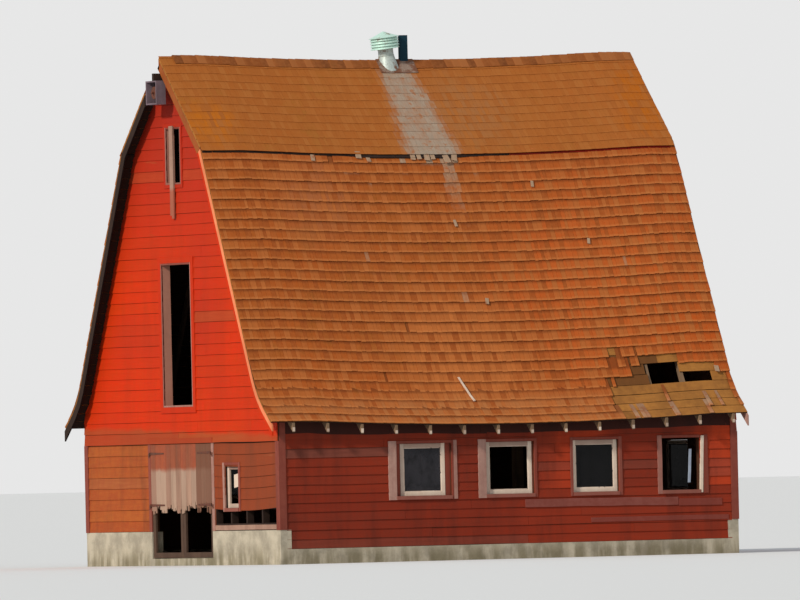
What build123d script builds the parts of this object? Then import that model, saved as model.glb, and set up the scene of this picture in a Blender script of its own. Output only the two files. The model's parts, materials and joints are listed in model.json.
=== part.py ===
from build123d import *
import math
import os

# A small timber barn with a gambrel roof, in millimetres.
# X runs along the ridge with the front gable towards -X, Z is up, and the ground is at Z = 0
# under the middle of the building. South is the long side towards -Y.

# Overall size
barn_length = 8534
barn_width = 7315
ridge_height = 8520
wall_thickness = 120
storey_height = 2040  # top of the lower end walls and of the doorway
storey_step = 20  # how far the gable siding stands out over the lower wall

# Roof outline, measured on the finished surface
knee_offset = 1520
knee_drop = 1560  # from the ridge to the knee
kick_inset = 207.5  # from the long wall's outer face inwards to the kick
kick_rise = 310  # from the wall plate up to the kick
eave_overhang = 282.5
eave_drop = 120  # from the wall plate down to the eave
kick_ease = 260  # length of each slope that the rounded flare takes up
front_overhang = 270
rear_overhang = 120
roof_thickness = 45
roof_sag = 110  # how far the ridge has sunk at mid length

# Roof framing
rafter_count = 14
rafter_inset = 150
rafter_width = 45
rafter_depth = 110
tail_setback = 30
plate_height = 2480
ridge_board_width = 38
ridge_board_depth = 170
rake_width = 25
rake_depth = 130
cap_leg = 140
cap_thickness = 12

# Foundation and floors
foundation_height = 570  # under the end walls
side_foundation_height = 250  # under the long walls
foundation_thickness = 200
foundation_proud = 20
slab_height = 120
loft_rise = 200  # from the wall plate to the top of the loft floor
floor_board = 25
beam_offset = 1220
beam_width = 150
beam_depth = 200
post_size = 150
post_offset = 1420
fit = 3  # carpenter's clearance
side_fit = 0.3  # between a joist and the rafter it is nailed to
cut_margin = 60  # how far a cutter reaches past the faces that it opens

# Doorway and its two leaves
door_width = 2300
casing_width = 90
casing_thickness = 25
leaf_gap = 6
seam_gap = 8
leaf_foot_gap = 10
plank_thickness = 25
rotted_height = 905  # where the planks of the leaves now end
rotted_ends = (-44, 0, 44, -22, 22, -44)  # how far each end is from that, from the seam outwards
leaf_frame_width = 90
leaf_frame_thickness = 38
middle_rail_height = 960

# Strap hinges
pin_radius = 7
pin_stand = 14  # from the leaf's outer face to the pin's axis
knuckle_radius = 13
knuckle_bore = 7.5
knuckle_height = 40
strap_length = 520
strap_thickness = 6
strap_root = 44
strap_tip = 24
strap_heights = (1015, 1880)
pintle_gap = 2
pintle_arm = 12
pintle_arm_length = 35
pintle_plate = 5
pintle_plate_start = 24  # from the pin's axis
pintle_plate_width = 46
pintle_plate_height = 70

# Side windows
window_count = 4
window_first = 2660  # centre of the first window from the front wall
window_pitch = 1610
window_width = 870
window_sill = 1080
window_height = 870
south_widths = (1030, 900, 860, 720)  # the openings on the south side, from front to rear
south_sashes = (830, 860, 844)  # the sashes left in them
trim_thickness = 30
trim_width = 100
head_trim = 45
sill_trim = 60
south_trim_left = (150, 150, 50, 85)
south_trim_right = (105, 50, 60, 150)
sash_border = 70
sash_thickness = 35
sash_depth = 30  # from the wall's face to the sash
glass_thickness = 4
glass_depth = 12
sashless_window = 3
glassless_window = 1

# End windows
front_window_gap = 490  # from the doorway's edge to the window's opening
front_window_width = 520
front_window_sill = 950
front_window_height = 710
front_window_trim = 60
rear_window_offset = 1750
rear_window_sill = 1050

# Openings in the gables
hay_width = 1070
hay_height = 2350
hay_trim = 130
liner = 20
peak_width = 520
peak_drop = 2120  # from the ridge to the sill of the peak openings
peak_height = 900
peak_trim = 90

# Corner boards
corner_width = 100

# Damage
gap_height = 230
gap_bottom = 690
gap_count = 4
gap_margin = 120
stud_width = 45
broken_width = 560  # overhang lost beside the front peak
hole_left = 1620  # the roof hole, measured from the roof's rear edge
hole_middle = 960
hole_right = 300
hole_top_rise = 810  # heights of the hole's corners over the wall plate
hole_slit_rise = 620
hole_bottom_rise = 440
hole_ragged = 35  # how far the broken edges swing in and out
loose_board_width = 140
loose_board_rise = 50  # over the head of the peak opening
loose_board_drop = 600  # under its sill

# Hay track and carrier
track_width = 70
track_height = 120
track_drop = 290  # from the ridge to the top of the track
track_reach = 360
carrier_width = 400
carrier_shift = 90  # it hangs aside towards the broken overhang
carrier_height = 400
carrier_length = 180
carrier_wall = 25
sheave_radius = 105
sheave_width = 40
axle_radius = 18

# Ridge ventilator
vent_lean = 7
vent_place = -260  # the stack's axis along the ridge
flashing_start = -470
flashing_length = 700
flashing_leg = 210
flashing_thickness = 10
collar_foot_radius = 200
collar_rise = 60
collar_drop = 210  # how far the collar's skirt reaches down both slopes
stack_radius = 130
stack_wall = 8
stack_rise = 110
head_radius = 245
head_height = 190
head_cone = 110
louvre_count = 4
louvre_depth = 28
stay_start = -20  # the stay is a plank on edge behind the stack
stay_length = 150
stay_width = 70
stay_rise = 400

half_length = barn_length / 2
half_width = barn_width / 2
inner_length = half_length - wall_thickness
inner_width = half_width - wall_thickness
front_end = -half_length - front_overhang
rear_end = half_length + rear_overhang
knee_height = ridge_height - knee_drop
kick_offset = half_width - kick_inset
eave_offset = half_width + eave_overhang
kick_height = plate_height + kick_rise
eave_height = plate_height - eave_drop
loft_height = plate_height + loft_rise
front_window_offset = (door_width + front_window_width) / 2 + front_window_gap
peak_sill = ridge_height - peak_drop
track_top = ridge_height - track_drop
rafter_pitch = (barn_length - 2 * rafter_inset) / (rafter_count - 1)


def along(start, end, distance):
    """The point that lies a distance from start towards end."""
    length = math.dist(start, end)
    return tuple(a + (b - a) * distance / length for a, b in zip(start, end))


def roof_outline():
    """Half of the roof's finished surface, from the ridge to the eave."""
    ridge = (0, ridge_height)
    knee = (knee_offset, knee_height)
    kick = (kick_offset, kick_height)
    eave = (eave_offset, eave_height)
    before = along(kick, knee, kick_ease)
    after = along(kick, eave, kick_ease)
    middle = tuple((a + 2 * k + b) / 4 for a, k, b in zip(before, kick, after))
    return [ridge, knee, before, middle, after, eave]


def inset(outline, depth):
    """The parallel line below an outline, mitred at its corners and cut plumb at its ends."""
    lines = []
    for (y0, z0), (y1, z1) in zip(outline, outline[1:]):
        slope = (z1 - z0) / (y1 - y0)
        drop = depth * math.hypot(1, slope)
        lines.append((slope, z0 - drop - slope * y0))
    first, last = outline[0][0], outline[-1][0]
    points = [(first, lines[0][0] * first + lines[0][1])]
    for (m0, c0), (m1, c1) in zip(lines, lines[1:]):
        y = (c1 - c0) / (m0 - m1)
        points.append((y, m0 * y + c0))
    points.append((last, lines[-1][0] * last + lines[-1][1]))
    return points


def height_at(outline, y):
    """The height of an outline at a distance from the ridge."""
    for (y0, z0), (y1, z1) in zip(outline, outline[1:]):
        if y0 <= y <= y1:
            return z0 + (z1 - z0) * (y - y0) / (y1 - y0)
    raise ValueError("outside the roof")


def offset_at(outline, z):
    """The distance from the ridge at which an outline has a height."""
    for (y0, z0), (y1, z1) in zip(outline, outline[1:]):
        if z1 <= z <= z0:
            return y0 + (y1 - y0) * (z - z0) / (z1 - z0)
    raise ValueError("outside the roof")


def between(outline, y_from, y_to):
    """The stretch of an outline between two distances from the ridge."""
    inner = [point for point in outline if y_from < point[0] < y_to]
    ends = [(y, height_at(outline, y)) for y in (y_from, y_to)]
    return [ends[0], *inner, ends[1]]


surface = roof_outline()
deck_under = inset(surface, roof_thickness)
rafter_under = inset(surface, roof_thickness + rafter_depth)
rake_under = inset(surface, roof_thickness + rake_depth)

# The roof, loft and wall tops sink together. The sag changes slope only half way between rafters.
first_bay = -half_length + rafter_inset + rafter_pitch / 2
sway_bays = [2 * i for i in range((rafter_count - 1) // 2 + 1)]
sway_stations = [first_bay + bay * rafter_pitch for bay in sway_bays]


def sag_at(x):
    """How far the roof has sunk at a place along the ridge."""
    half = abs(first_bay)
    depths = [roof_sag * (1 - (station / half) ** 2) for station in sway_stations]
    for i in range(len(sway_stations) - 1):
        x0, x1 = sway_stations[i], sway_stations[i + 1]
        if x0 <= x <= x1:
            return depths[i] + (depths[i + 1] - depths[i]) * (x - x0) / (x1 - x0)
    return 0


def swayed(profile, x_from, x_to):
    """A length of one section that follows the roof's sag."""
    stops = [x_from, *[x for x in sway_stations if x_from < x < x_to], x_to]
    runs = []
    for x0, x1 in zip(stops, stops[1:]):
        section = Face(Wire.make_polygon([(x0, y, z - sag_at(x0)) for y, z in profile]))
        runs.append(Solid.extrude(section, (x1 - x0, 0, sag_at(x0) - sag_at(x1))))
    if len(runs) == 1:
        return runs[0]
    return runs[0].fuse(*runs[1:]).clean().solid()


def block(x, y, z):
    """A box given by its three ranges."""
    size = [high - low for low, high in (x, y, z)]
    middle = [(low + high) / 2 for low, high in (x, y, z)]
    return (Pos(*middle) * Box(*size)).solid()


def north(profile):
    return [(y, z) for y, z in profile]


def south(profile):
    return [(-y, z) for y, z in profile]


def cut(shape, *tools):
    """What is left of a solid, as one solid."""
    return shape.cut(*tools).solid()


def all_below(height):
    """A cutter for everything under a level."""
    return block((-barn_length, barn_length), (-barn_width, barn_width), (height - ridge_height, height))


# On each wall, X points right and Y points inwards for someone who stands outside.
wall_places = {
    "south": Pos(0, -half_width, 0),
    "north": Pos(0, half_width, 0) * Rot(0, 0, 180),
    "front": Pos(-half_length, 0, 0) * Rot(0, 0, -90),
    "rear": Pos(half_length, 0, 0) * Rot(0, 0, 90),
}
through = (-cut_margin, wall_thickness + cut_margin)


def hole_in_wall(wall, centre, width, sill, height):
    """The cutter for one rectangular opening."""
    x = (centre - width / 2, centre + width / 2)
    return wall_places[wall] * block(x, through, (sill, sill + height))


def flat_ring(centre, width, sill, height, left, right, top, bottom, y):
    """A rectangular frame around an opening."""
    x0, x1 = centre - width / 2, centre + width / 2
    outside = block((x0 - left, x1 + right), y, (sill - bottom, sill + height + top))
    return cut(outside, block((x0, x1), (y[0] - cut_margin, y[1] + cut_margin), (sill, sill + height)))


def window_centres():
    return [-half_length + window_first + i * window_pitch for i in range(window_count)]


def foundation():
    outer_x = half_length + foundation_proud
    outer_y = half_width + foundation_proud
    inner_x = outer_x - foundation_thickness
    inner_y = outer_y - foundation_thickness
    z = (0, foundation_height)
    side_z = (0, side_foundation_height)
    half_door = door_width / 2
    slab = (0, slab_height)
    return {
        "foundation_south": [block((-inner_x, inner_x), (-outer_y, -inner_y), side_z)],
        "foundation_north": [block((-inner_x, inner_x), (inner_y, outer_y), side_z)],
        "foundation_rear": [block((inner_x, outer_x), (-outer_y, outer_y), z)],
        "foundation_front": [
            block((-outer_x, -inner_x), (-outer_y, -half_door), z),
            block((-outer_x, -inner_x), (half_door, outer_y), z),
        ],
        "door_sill": [block((-outer_x, -inner_x), (-half_door, half_door), slab)],
        "ground_floor": [block((-inner_x, inner_x), (-inner_y, inner_y), slab)],
    }


def side_wall(name):
    """A long wall: the band under its windows, the piers between them, and a top that follows the sag."""
    side = -1 if name == "south" else 1
    widths = south_widths if name == "south" else [window_width] * window_count
    y = tuple(sorted((side * inner_width, side * half_width)))
    head = window_sill + window_height
    pier = half_length + foundation_proud - foundation_thickness
    low = block((-inner_length, inner_length), y, (side_foundation_height, window_sill))
    for x in ((-barn_length, -pier), (pier, barn_length)):
        low = cut(low, block(x, (-barn_width, barn_width), (0, foundation_height)))
    foot = head - 2 * roof_sag
    profile = [(y[0], foot), (y[1], foot), (y[1], plate_height), (y[0], plate_height)]
    solids = [low, cut(swayed(profile, -inner_length, inner_length), all_below(head))]
    start = -inner_length
    for centre, width in sorted((-side * centre, width) for centre, width in zip(window_centres(), widths)):
        solids.append(block((start, centre - width / 2), y, (window_sill, head)))
        start = centre + width / 2
    solids.append(block((start, inner_length), y, (window_sill, head)))
    return solids


def gable_profile():
    """The end wall above the lower storey, up to the underside of the roof."""
    slope = [point for point in deck_under if point[0] < half_width]
    edge = [*slope, (half_width, height_at(deck_under, half_width)), (half_width, storey_height)]
    return [*north(edge), *reversed(south(edge)[1:])]


def gable_wall(name):
    """An upper end wall with its openings."""
    side = -1 if name == "front" else 1
    x = sorted((side * inner_length, side * (half_length + storey_step)))
    wall = swayed(gable_profile(), *x)
    holes = [hole_in_wall(name, 0, peak_width + 2 * liner, peak_sill - liner, peak_height + 2 * liner)]
    if name == "front":
        holes.append(
            hole_in_wall(name, 0, hay_width + 2 * liner, loft_height - liner, hay_height + 2 * liner)
        )
    return cut(wall, *holes)


def missing_boards():
    """Gaps between the studs where the lowest boards of the front wall are gone."""
    start = door_width / 2 + gap_margin
    end = half_width - gap_margin
    pitch = (end - start + stud_width) / gap_count
    gaps = []
    for i in range(gap_count):
        x0 = start + i * pitch
        x = (x0, x0 + pitch - stud_width)
        gaps.append(wall_places["front"] * block(x, through, (gap_bottom, gap_bottom + gap_height)))
    return gaps


def end_walls():
    half_door = door_width / 2
    z = (foundation_height, storey_height)
    front_x = (-half_length, -inner_length)
    right = block(front_x, (-half_width, -half_door), z)
    window = hole_in_wall(
        "front", front_window_offset, front_window_width, front_window_sill, front_window_height
    )
    rear = block((inner_length, half_length), (-half_width, half_width), z)
    rear_holes = [
        hole_in_wall("rear", side * rear_window_offset, window_width, rear_window_sill, window_height)
        for side in (-1, 1)
    ]
    return {
        "front_wall_left": [block(front_x, (half_door, half_width), z)],
        "front_wall_right": [cut(right, window, *missing_boards())],
        "rear_wall": [cut(rear, *rear_holes)],
        "front_gable_wall": [gable_wall("front")],
        "rear_gable_wall": [gable_wall("rear")],
        "south_wall": side_wall("south"),
        "north_wall": side_wall("north"),
    }


def corner_boards():
    """A pair of boards round each corner of the building, on the side and on the lower end wall."""
    boards = []
    side_top = plate_height - rafter_depth
    for end in (-1, 1):
        for side in (-1, 1):
            x0, x1 = half_length - corner_width, half_length
            y0, y1 = half_width - corner_width, half_width
            proud = trim_thickness
            on_side = block((x0, x1), (y1, y1 + proud), (foundation_height, side_top))
            on_end = block((x1, x1 + proud), (y0, y1 + proud), (foundation_height, storey_height))
            pair = on_side.fuse(on_end).clean().solid()
            turn = {(1, 1): 0, (-1, -1): 180}.get((end, side))
            if turn is None:
                pair = pair.mirror(Plane.XZ)
                turn = 0 if end == 1 else 180
            boards.append(Rot(0, 0, turn) * pair)
    return boards


def rafter_places():
    return [-half_length + rafter_inset + i * rafter_pitch for i in range(rafter_count)]


def lower_rafter_profile():
    """A rafter from the knee to its exposed tail, notched over the wall."""
    start = deck_under[1][0]
    end = eave_offset - tail_setback
    top = between(deck_under, start, end)
    bottom = between(rafter_under, start, end)
    seat_inner = offset_at(rafter_under, plate_height)
    heel = height_at(rafter_under, half_width)
    inner = [point for point in bottom if point[0] < seat_inner]
    outer = [point for point in bottom if point[0] > half_width]
    notch = [(seat_inner, plate_height), (half_width, plate_height), (half_width, heel)]
    return [*top, *reversed([*inner, *notch, *outer])]


def upper_rafter_profile():
    """A rafter from the ridge board to the knee, cut plumb at both ends."""
    start = ridge_board_width / 2
    end = deck_under[1][0]
    return [*between(deck_under, start, end), *reversed(between(rafter_under, start, end))]


def rafters(profile):
    half = rafter_width / 2
    return [swayed(profile, x - half, x + half) for x in rafter_places()]


def roof_framing():
    half = ridge_board_width / 2
    top = height_at(deck_under, half)
    ridge = [(-half, top), (half, top), (half, top - ridge_board_depth), (-half, top - ridge_board_depth)]
    lower, upper = lower_rafter_profile(), upper_rafter_profile()
    return {
        "rafters_lower_south": rafters(south(lower)),
        "rafters_lower_north": rafters(north(lower)),
        "rafters_upper_south": rafters(south(upper)),
        "rafters_upper_north": rafters(north(upper)),
        "ridge_board": [swayed(ridge, -inner_length, inner_length)],
    }


def ragged(corners):
    """A closed outline whose sides are broken, one inwards and the next outwards."""
    points = []
    push = hole_ragged
    for (x0, z0), (x1, z1) in zip(corners, [*corners[1:], corners[0]]):
        length = math.dist((x0, z0), (x1, z1))
        middle = ((x0 + x1) / 2 + push * (z1 - z0) / length, (z0 + z1) / 2 - push * (x1 - x0) / length)
        points.extend([(x0, z0), middle])
        push = -push
    return points


def roof_hole():
    """The hole with ragged edges near the rear eave, as a cutter."""
    hole_top = plate_height + hole_top_rise
    hole_slit = plate_height + hole_slit_rise
    hole_bottom = plate_height + hole_bottom_rise
    corners = [
        (hole_left, hole_bottom),
        (hole_left, hole_top),
        (hole_middle, hole_top),
        (hole_middle, hole_slit),
        (hole_right, hole_slit),
        (hole_right, hole_bottom),
    ]
    outline = [(rear_end - x, -barn_width, z) for x, z in ragged(corners)]
    return Solid.extrude(Face(Wire.make_polygon(outline)), (0, barn_width, 0))


def broken_overhang():
    """The piece that is missing from the north side of the front peak."""
    x = (front_end - cut_margin, -half_length - storey_step - fit)
    return block(x, (0, broken_width), (knee_height, ridge_height + roof_thickness))


def roof():
    upper = [surface[0], surface[1], deck_under[1], deck_under[0]]
    lower = [*surface[1:], *reversed(deck_under[1:])]
    ends = (front_end, rear_end)
    cap_outer = inset([(0, ridge_height), (cap_leg, height_at(surface, cap_leg))], -cap_thickness)
    cap_inner = between(surface, 0, cap_leg)
    cap = [cap_outer[0], cap_outer[1], cap_inner[1], cap_inner[0]]
    cap = [*cap[:3], cap[3], *reversed(south(cap[1:3]))]
    cap_front = -half_length - storey_step
    return {
        "roof_upper_south": [swayed(south(upper), *ends)],
        "roof_upper_north": [cut(swayed(north(upper), *ends), broken_overhang())],
        "roof_lower_south": [cut(swayed(south(lower), *ends), roof_hole())],
        "roof_lower_north": [swayed(north(lower), *ends)],
        "ridge_cap": [swayed(cap, cap_front, rear_end)],
    }


def rake_boards():
    """The bent boards that close the roof's overhang at both ends."""
    half = [*deck_under, *reversed(rake_under)]
    boards = {}
    ranges = {"front": (front_end, front_end + rake_width), "rear": (rear_end - rake_width, rear_end)}
    for place, x in ranges.items():
        boards[f"rake_{place}_south"] = [swayed(south(half), *x)]
        boards[f"rake_{place}_north"] = [swayed(north(half), *x)]
    boards["rake_front_north"] = [cut(boards["rake_front_north"][0], broken_overhang())]
    return boards


def loft():
    joist_top = loft_height - floor_board
    bevel = between(inset(deck_under, fit), offset_at(deck_under, joist_top + fit), half_width - fit)
    bevel = [point for point in bevel if point[1] < joist_top]
    top_corner = (offset_at(inset(deck_under, fit), joist_top), joist_top)
    half = [top_corner, *bevel, (half_width - fit, plate_height)]
    joist = [*north(half), *reversed(south(half))]
    joists = []
    for x in rafter_places():
        towards_middle = 1 if x < 0 else -1
        near = x + towards_middle * (rafter_width / 2 + side_fit)
        far = near + towards_middle * rafter_width
        joists.append(swayed(joist, *sorted((near, far))))
    reach = offset_at(rafter_under, loft_height) - fit
    floor = [(-reach, joist_top), (reach, joist_top), (reach, loft_height), (-reach, loft_height)]
    beams, posts = [], []
    beam_foot = plate_height - beam_depth
    for side in (-1, 1):
        y0, y1 = side * beam_offset - beam_width / 2, side * beam_offset + beam_width / 2
        beam = [(y0, beam_foot), (y1, beam_foot), (y1, plate_height), (y0, plate_height)]
        beams.append(swayed(beam, -inner_length, inner_length))
        for end in (-1, 1):
            x = (end * post_offset - post_size / 2, end * post_offset + post_size / 2)
            foot = slab_height - 2 * roof_sag
            post = swayed([(y0, foot), (y1, foot), (y1, beam_foot), (y0, beam_foot)], *x)
            posts.append(cut(post, all_below(slab_height)))
    return {
        "loft_joists": joists,
        "loft_floor": [swayed(floor, -inner_length, inner_length)],
        "loft_beams": beams,
        "loft_posts": posts,
    }


def window_frames(wall, centres, sill, widths, lefts, rights):
    y = (-trim_thickness, 0)
    frames = []
    for centre, width, left, right in zip(centres, widths, lefts, rights):
        ring = flat_ring(centre, width, sill, window_height, left, right, head_trim, sill_trim, y)
        frames.append(wall_places[wall] * ring)
    return frames


def sash(wall, centre, width, sill, height):
    """A sash that stands on the sill, with a small clearance over it."""
    light = (width - 2 * sash_border, height - fit - 2 * sash_border)
    y = (sash_depth, sash_depth + sash_thickness)
    border = (sash_border,) * 4
    return wall_places[wall] * flat_ring(centre, light[0], sill + sash_border, light[1], *border, y)


def pane(wall, centre, width, sill, height):
    """The glass of one sash."""
    half = width / 2 - sash_border
    z = (sill + sash_border, sill + height - fit - sash_border)
    y = (sash_depth + glass_depth, sash_depth + glass_depth + glass_thickness)
    return wall_places[wall] * block((centre - half, centre + half), y, z)


def windows():
    centres = window_centres()
    plain = [trim_width] * window_count
    plain_widths = [window_width] * window_count
    rear_centres = [-rear_window_offset, rear_window_offset]
    full = window_width - 2 * fit
    rear_size = (full, rear_window_sill, window_height)
    front = (front_window_width, front_window_sill, front_window_height)
    sashes, panes = [], []
    kept = [i for i in range(window_count) if i != sashless_window]
    for i, width in zip(kept, south_sashes):
        size = (width, window_sill, window_height)
        sashes.append(sash("south", centres[i], *size))
        if i != glassless_window:
            panes.append(pane("south", centres[i], *size))
    for centre in centres:
        sashes.append(sash("north", centre, full, window_sill, window_height))
        panes.append(pane("north", centre, full, window_sill, window_height))
    for centre in rear_centres:
        sashes.append(sash("rear", centre, *rear_size))
        panes.append(pane("rear", centre, *rear_size))
    sashes.append(sash("front", front_window_offset, front_window_width - 2 * fit, *front[1:]))
    front_ring = flat_ring(front_window_offset, *front, *(front_window_trim,) * 4, (-trim_thickness, 0))
    south_trims = (south_widths, south_trim_left, south_trim_right)
    plain_trims = (plain_widths, plain, plain)
    return {
        "south_window_frames": window_frames("south", centres, window_sill, *south_trims),
        "north_window_frames": window_frames("north", centres, window_sill, *plain_trims),
        "rear_window_frames": window_frames("rear", rear_centres, rear_window_sill, *plain_trims),
        "front_window_frame": [wall_places["front"] * front_ring],
        "window_sashes": sashes,
        "window_glass": panes,
    }


def lined_frame(wall, width, sill, height, trim):
    """Casing boards outside and a lining through the wall, as one frame."""
    face = -storey_step
    casing = flat_ring(0, width, sill, height, trim, trim, trim, trim, (face - trim_thickness, face))
    lining = flat_ring(0, width, sill, height, liner, liner, liner, liner, (face, wall_thickness))
    return wall_places[wall] * casing.fuse(lining).clean().solid()


def gable_openings():
    peak = (peak_width, peak_sill, peak_height, peak_trim)
    face = storey_step + trim_thickness
    board = block(
        (-loose_board_width / 2, loose_board_width / 2),
        (-face - trim_thickness, -face),
        (peak_sill - loose_board_drop, peak_sill + peak_height + loose_board_rise),
    )
    return {
        "hay_door_frame": [lined_frame("front", hay_width, loft_height, hay_height, hay_trim)],
        "upper_opening_frames": [lined_frame(wall, *peak) for wall in ("front", "rear")],
        "loose_board": [wall_places["front"] * board],
    }


def door_casing():
    half_door = door_width / 2
    outer = half_door + casing_width
    head_top = storey_height + casing_width
    sides = [
        block(x, (-casing_thickness, 0), (foundation_height, storey_height))
        for x in ((-outer, -half_door), (half_door, outer))
    ]
    head = block((-outer, outer), (-storey_step - casing_thickness, -storey_step), (storey_height, head_top))
    return wall_places["front"] * head.fuse(*sides).clean().solid()


def leaf(side):
    """One plank leaf on its frame. Its planks have rotted off above the bottom rail."""
    x0, x1 = seam_gap / 2, door_width / 2 - leaf_gap
    z0, z1 = slab_height + leaf_foot_gap, storey_height - leaf_foot_gap
    y = (0, leaf_frame_thickness)
    width = leaf_frame_width
    frame = [
        block((x0, x0 + width), y, (z0, z1)),
        block((x1 - width, x1), y, (z0, z1)),
    ]
    for foot in (z0, middle_rail_height, z1 - width):
        frame.append(block((x0, x1), y, (foot, foot + width)))
    plank_width = (x1 - x0) / len(rotted_ends)
    for i, end in enumerate(rotted_ends):
        left = x0 + i * plank_width
        z = (rotted_height + end, z1)
        frame.append(block((left, left + plank_width), (-plank_thickness, 0), z))
    whole = frame[0].fuse(*frame[1:]).clean().solid()
    if side < 0:
        whole = whole.mirror(Plane.YZ)
    return wall_places["front"] * whole


def strap_hinges(side):
    """Tapered straps on the leaf's face, each with a knuckle round its pin."""
    pin_x, pin_y = door_width / 2, -plank_thickness - pin_stand
    face = -plank_thickness
    hinges = []
    for z in strap_heights:
        outline = [
            (pin_x, z - strap_root / 2),
            (pin_x, z + strap_root / 2),
            (pin_x - strap_length, z + strap_tip / 2),
            (pin_x - strap_length, z - strap_tip / 2),
        ]
        section = Face(Wire.make_polygon([(x, face, height) for x, height in outline]))
        strap = Solid.extrude(section, (0, -strap_thickness, 0))
        knuckle = (Pos(pin_x, pin_y, z) * Cylinder(knuckle_radius, knuckle_height)).solid()
        bore = (Pos(pin_x, pin_y, z) * Cylinder(knuckle_bore, 2 * knuckle_height)).solid()
        beside = (pin_x - leaf_gap, pin_x + leaf_gap)
        room = block(beside, (face - strap_thickness, face), (z - strap_root, z + strap_root))
        strap = cut(strap, room)
        hinges.append(cut(strap.fuse(knuckle).clean().solid(), bore))
    if side < 0:
        hinges = [hinge.mirror(Plane.YZ) for hinge in hinges]
    return [wall_places["front"] * hinge for hinge in hinges]


def pintles():
    """The fixed pins on the casing that the straps turn on."""
    pin_x, pin_y = door_width / 2, -plank_thickness - pin_stand
    face = -casing_thickness
    made = []
    for side in (-1, 1):
        for z in strap_heights:
            foot = z - knuckle_height / 2 - pintle_gap - pintle_arm
            top = z + knuckle_height / 2 + pintle_gap
            pin = (Pos(pin_x, pin_y, (foot + top) / 2) * Cylinder(pin_radius, top - foot)).solid()
            arm_x = (pin_x, pin_x + pintle_arm_length)
            arm = block(arm_x, (pin_y - pin_radius, face), (foot, foot + pintle_arm))
            plate_x = pin_x + pintle_plate_start
            plate = block(
                (plate_x, plate_x + pintle_plate_width),
                (face - pintle_plate, face),
                (foot - pintle_plate_height / 2, foot + pintle_plate_height / 2),
            )
            pintle = pin.fuse(arm, plate).clean().solid()
            if side < 0:
                pintle = pintle.mirror(Plane.YZ)
            made.append(wall_places["front"] * pintle)
    return made


def main_door():
    return {
        "main_door_casing": [door_casing()],
        "door_left": [leaf(-1)],
        "door_right": [leaf(1)],
        "door_left_hinges": strap_hinges(-1),
        "door_right_hinges": strap_hinges(1),
        "door_pintles": pintles(),
    }


def hay_gear():
    """The track beam's end and the open carrier box with its sheave."""
    face = -half_length - storey_step
    foot = track_top - track_height
    beam = block((face - track_reach, face), (-track_width / 2, track_width / 2), (foot, track_top))
    x0 = face - track_reach
    y0, y1 = carrier_shift - carrier_width / 2, carrier_shift + carrier_width / 2
    box = block((x0, x0 + carrier_length), (y0, y1), (foot - carrier_height, foot))
    wall = carrier_wall
    pocket = block(
        (x0 - wall, x0 + carrier_length - wall),
        (y0 + wall, y1 - wall),
        (foot - carrier_height + wall, foot - wall),
    )
    centre = foot - carrier_height / 2
    turn = Rot(0, 90, 0)
    back = x0 + carrier_length - wall
    axle_length = carrier_length - wall
    place = Pos(back - axle_length / 2, carrier_shift, centre) * turn
    axle = (place * Cylinder(axle_radius, axle_length)).solid()
    sheave = (place * Cylinder(sheave_radius, sheave_width)).solid()
    carrier = cut(box, pocket).fuse(axle, sheave).clean().solid()
    return {"hay_track": [beam], "hay_carrier": [carrier]}


def ventilator_flashing():
    """The saddle over the ridge cap, and a cutter for everything below it."""
    slope = (ridge_height - knee_height) / knee_offset
    rise = cap_thickness * math.hypot(1, slope)
    skin = flashing_thickness * math.hypot(1, slope)
    cap_edge = cap_leg + fit
    leg = flashing_leg
    half = [
        (0, ridge_height + rise + skin),
        (leg, ridge_height + rise + skin - slope * leg),
        (leg, ridge_height - slope * leg),
        (cap_edge, ridge_height - slope * cap_edge),
        (cap_edge, ridge_height + rise - slope * cap_edge),
        (0, ridge_height + rise),
    ]
    x = (flashing_start, flashing_start + flashing_length)
    saddle = swayed([*north(half), *reversed(south(half[1:5]))], *x)
    below = [
        (0, ridge_height + rise),
        (leg, ridge_height + rise - slope * leg),
        (leg, ridge_height - 2 * leg),
    ]
    under = swayed([*north(below), *reversed(south(below[1:]))], *x)
    return saddle, under, ridge_height + rise + skin


def ventilator_head_outline(foot):
    """Half of the louvred head, from its axis outwards."""
    points = [(0, foot), (head_radius - louvre_depth, foot)]
    pitch = head_height / louvre_count
    for i in range(louvre_count):
        z = foot + i * pitch
        points.extend([(head_radius, z), (head_radius - louvre_depth, z + pitch)])
    points.append((head_radius + louvre_depth / 2, foot + head_height))
    points.append((0, foot + head_height + head_cone))
    return points


def ridge_ventilator():
    """A louvred ventilator that leans towards the front gable, with the plank that stayed it."""
    saddle, under, top = ventilator_flashing()
    seat = top - sag_at(vent_place)
    lean = Pos(vent_place, 0, seat) * Rot(0, -vent_lean, 0)
    skirt = Cone(collar_foot_radius, stack_radius, collar_rise + collar_drop)
    collar = (lean * Pos(0, 0, (collar_rise - collar_drop) / 2) * skirt).solid()
    stay_x = (stay_start, stay_start + stay_length)
    stay = block(stay_x, (-stay_width / 2, stay_width / 2), (seat - collar_drop, seat + stay_rise))
    base = saddle.fuse(cut(collar, under), cut(stay, under)).clean().solid()
    middle = collar_rise + stack_rise / 2
    stack = (lean * Pos(0, 0, middle) * Cylinder(stack_radius, stack_rise)).solid()
    bore = (lean * Pos(0, 0, middle) * Cylinder(stack_radius - stack_wall, 2 * stack_rise)).solid()
    outline = ventilator_head_outline(collar_rise + stack_rise)
    section = Face(Wire.make_polygon([(x, 0, z) for x, z in outline]))
    return {
        "ventilator_base": [base],
        "ventilator_stack": [cut(stack, bore)],
        "ventilator_head": [lean * Solid.revolve(section, 360, Axis.Z)],
    }


def all_nodes():
    nodes = {}
    nodes.update(foundation())
    nodes.update(end_walls())
    nodes["corner_boards"] = corner_boards()
    nodes.update(loft())
    nodes.update(roof_framing())
    nodes.update(roof())
    nodes.update(rake_boards())
    nodes.update(windows())
    nodes.update(gable_openings())
    nodes.update(main_door())
    nodes.update(hay_gear())
    nodes.update(ridge_ventilator())
    return nodes


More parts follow.
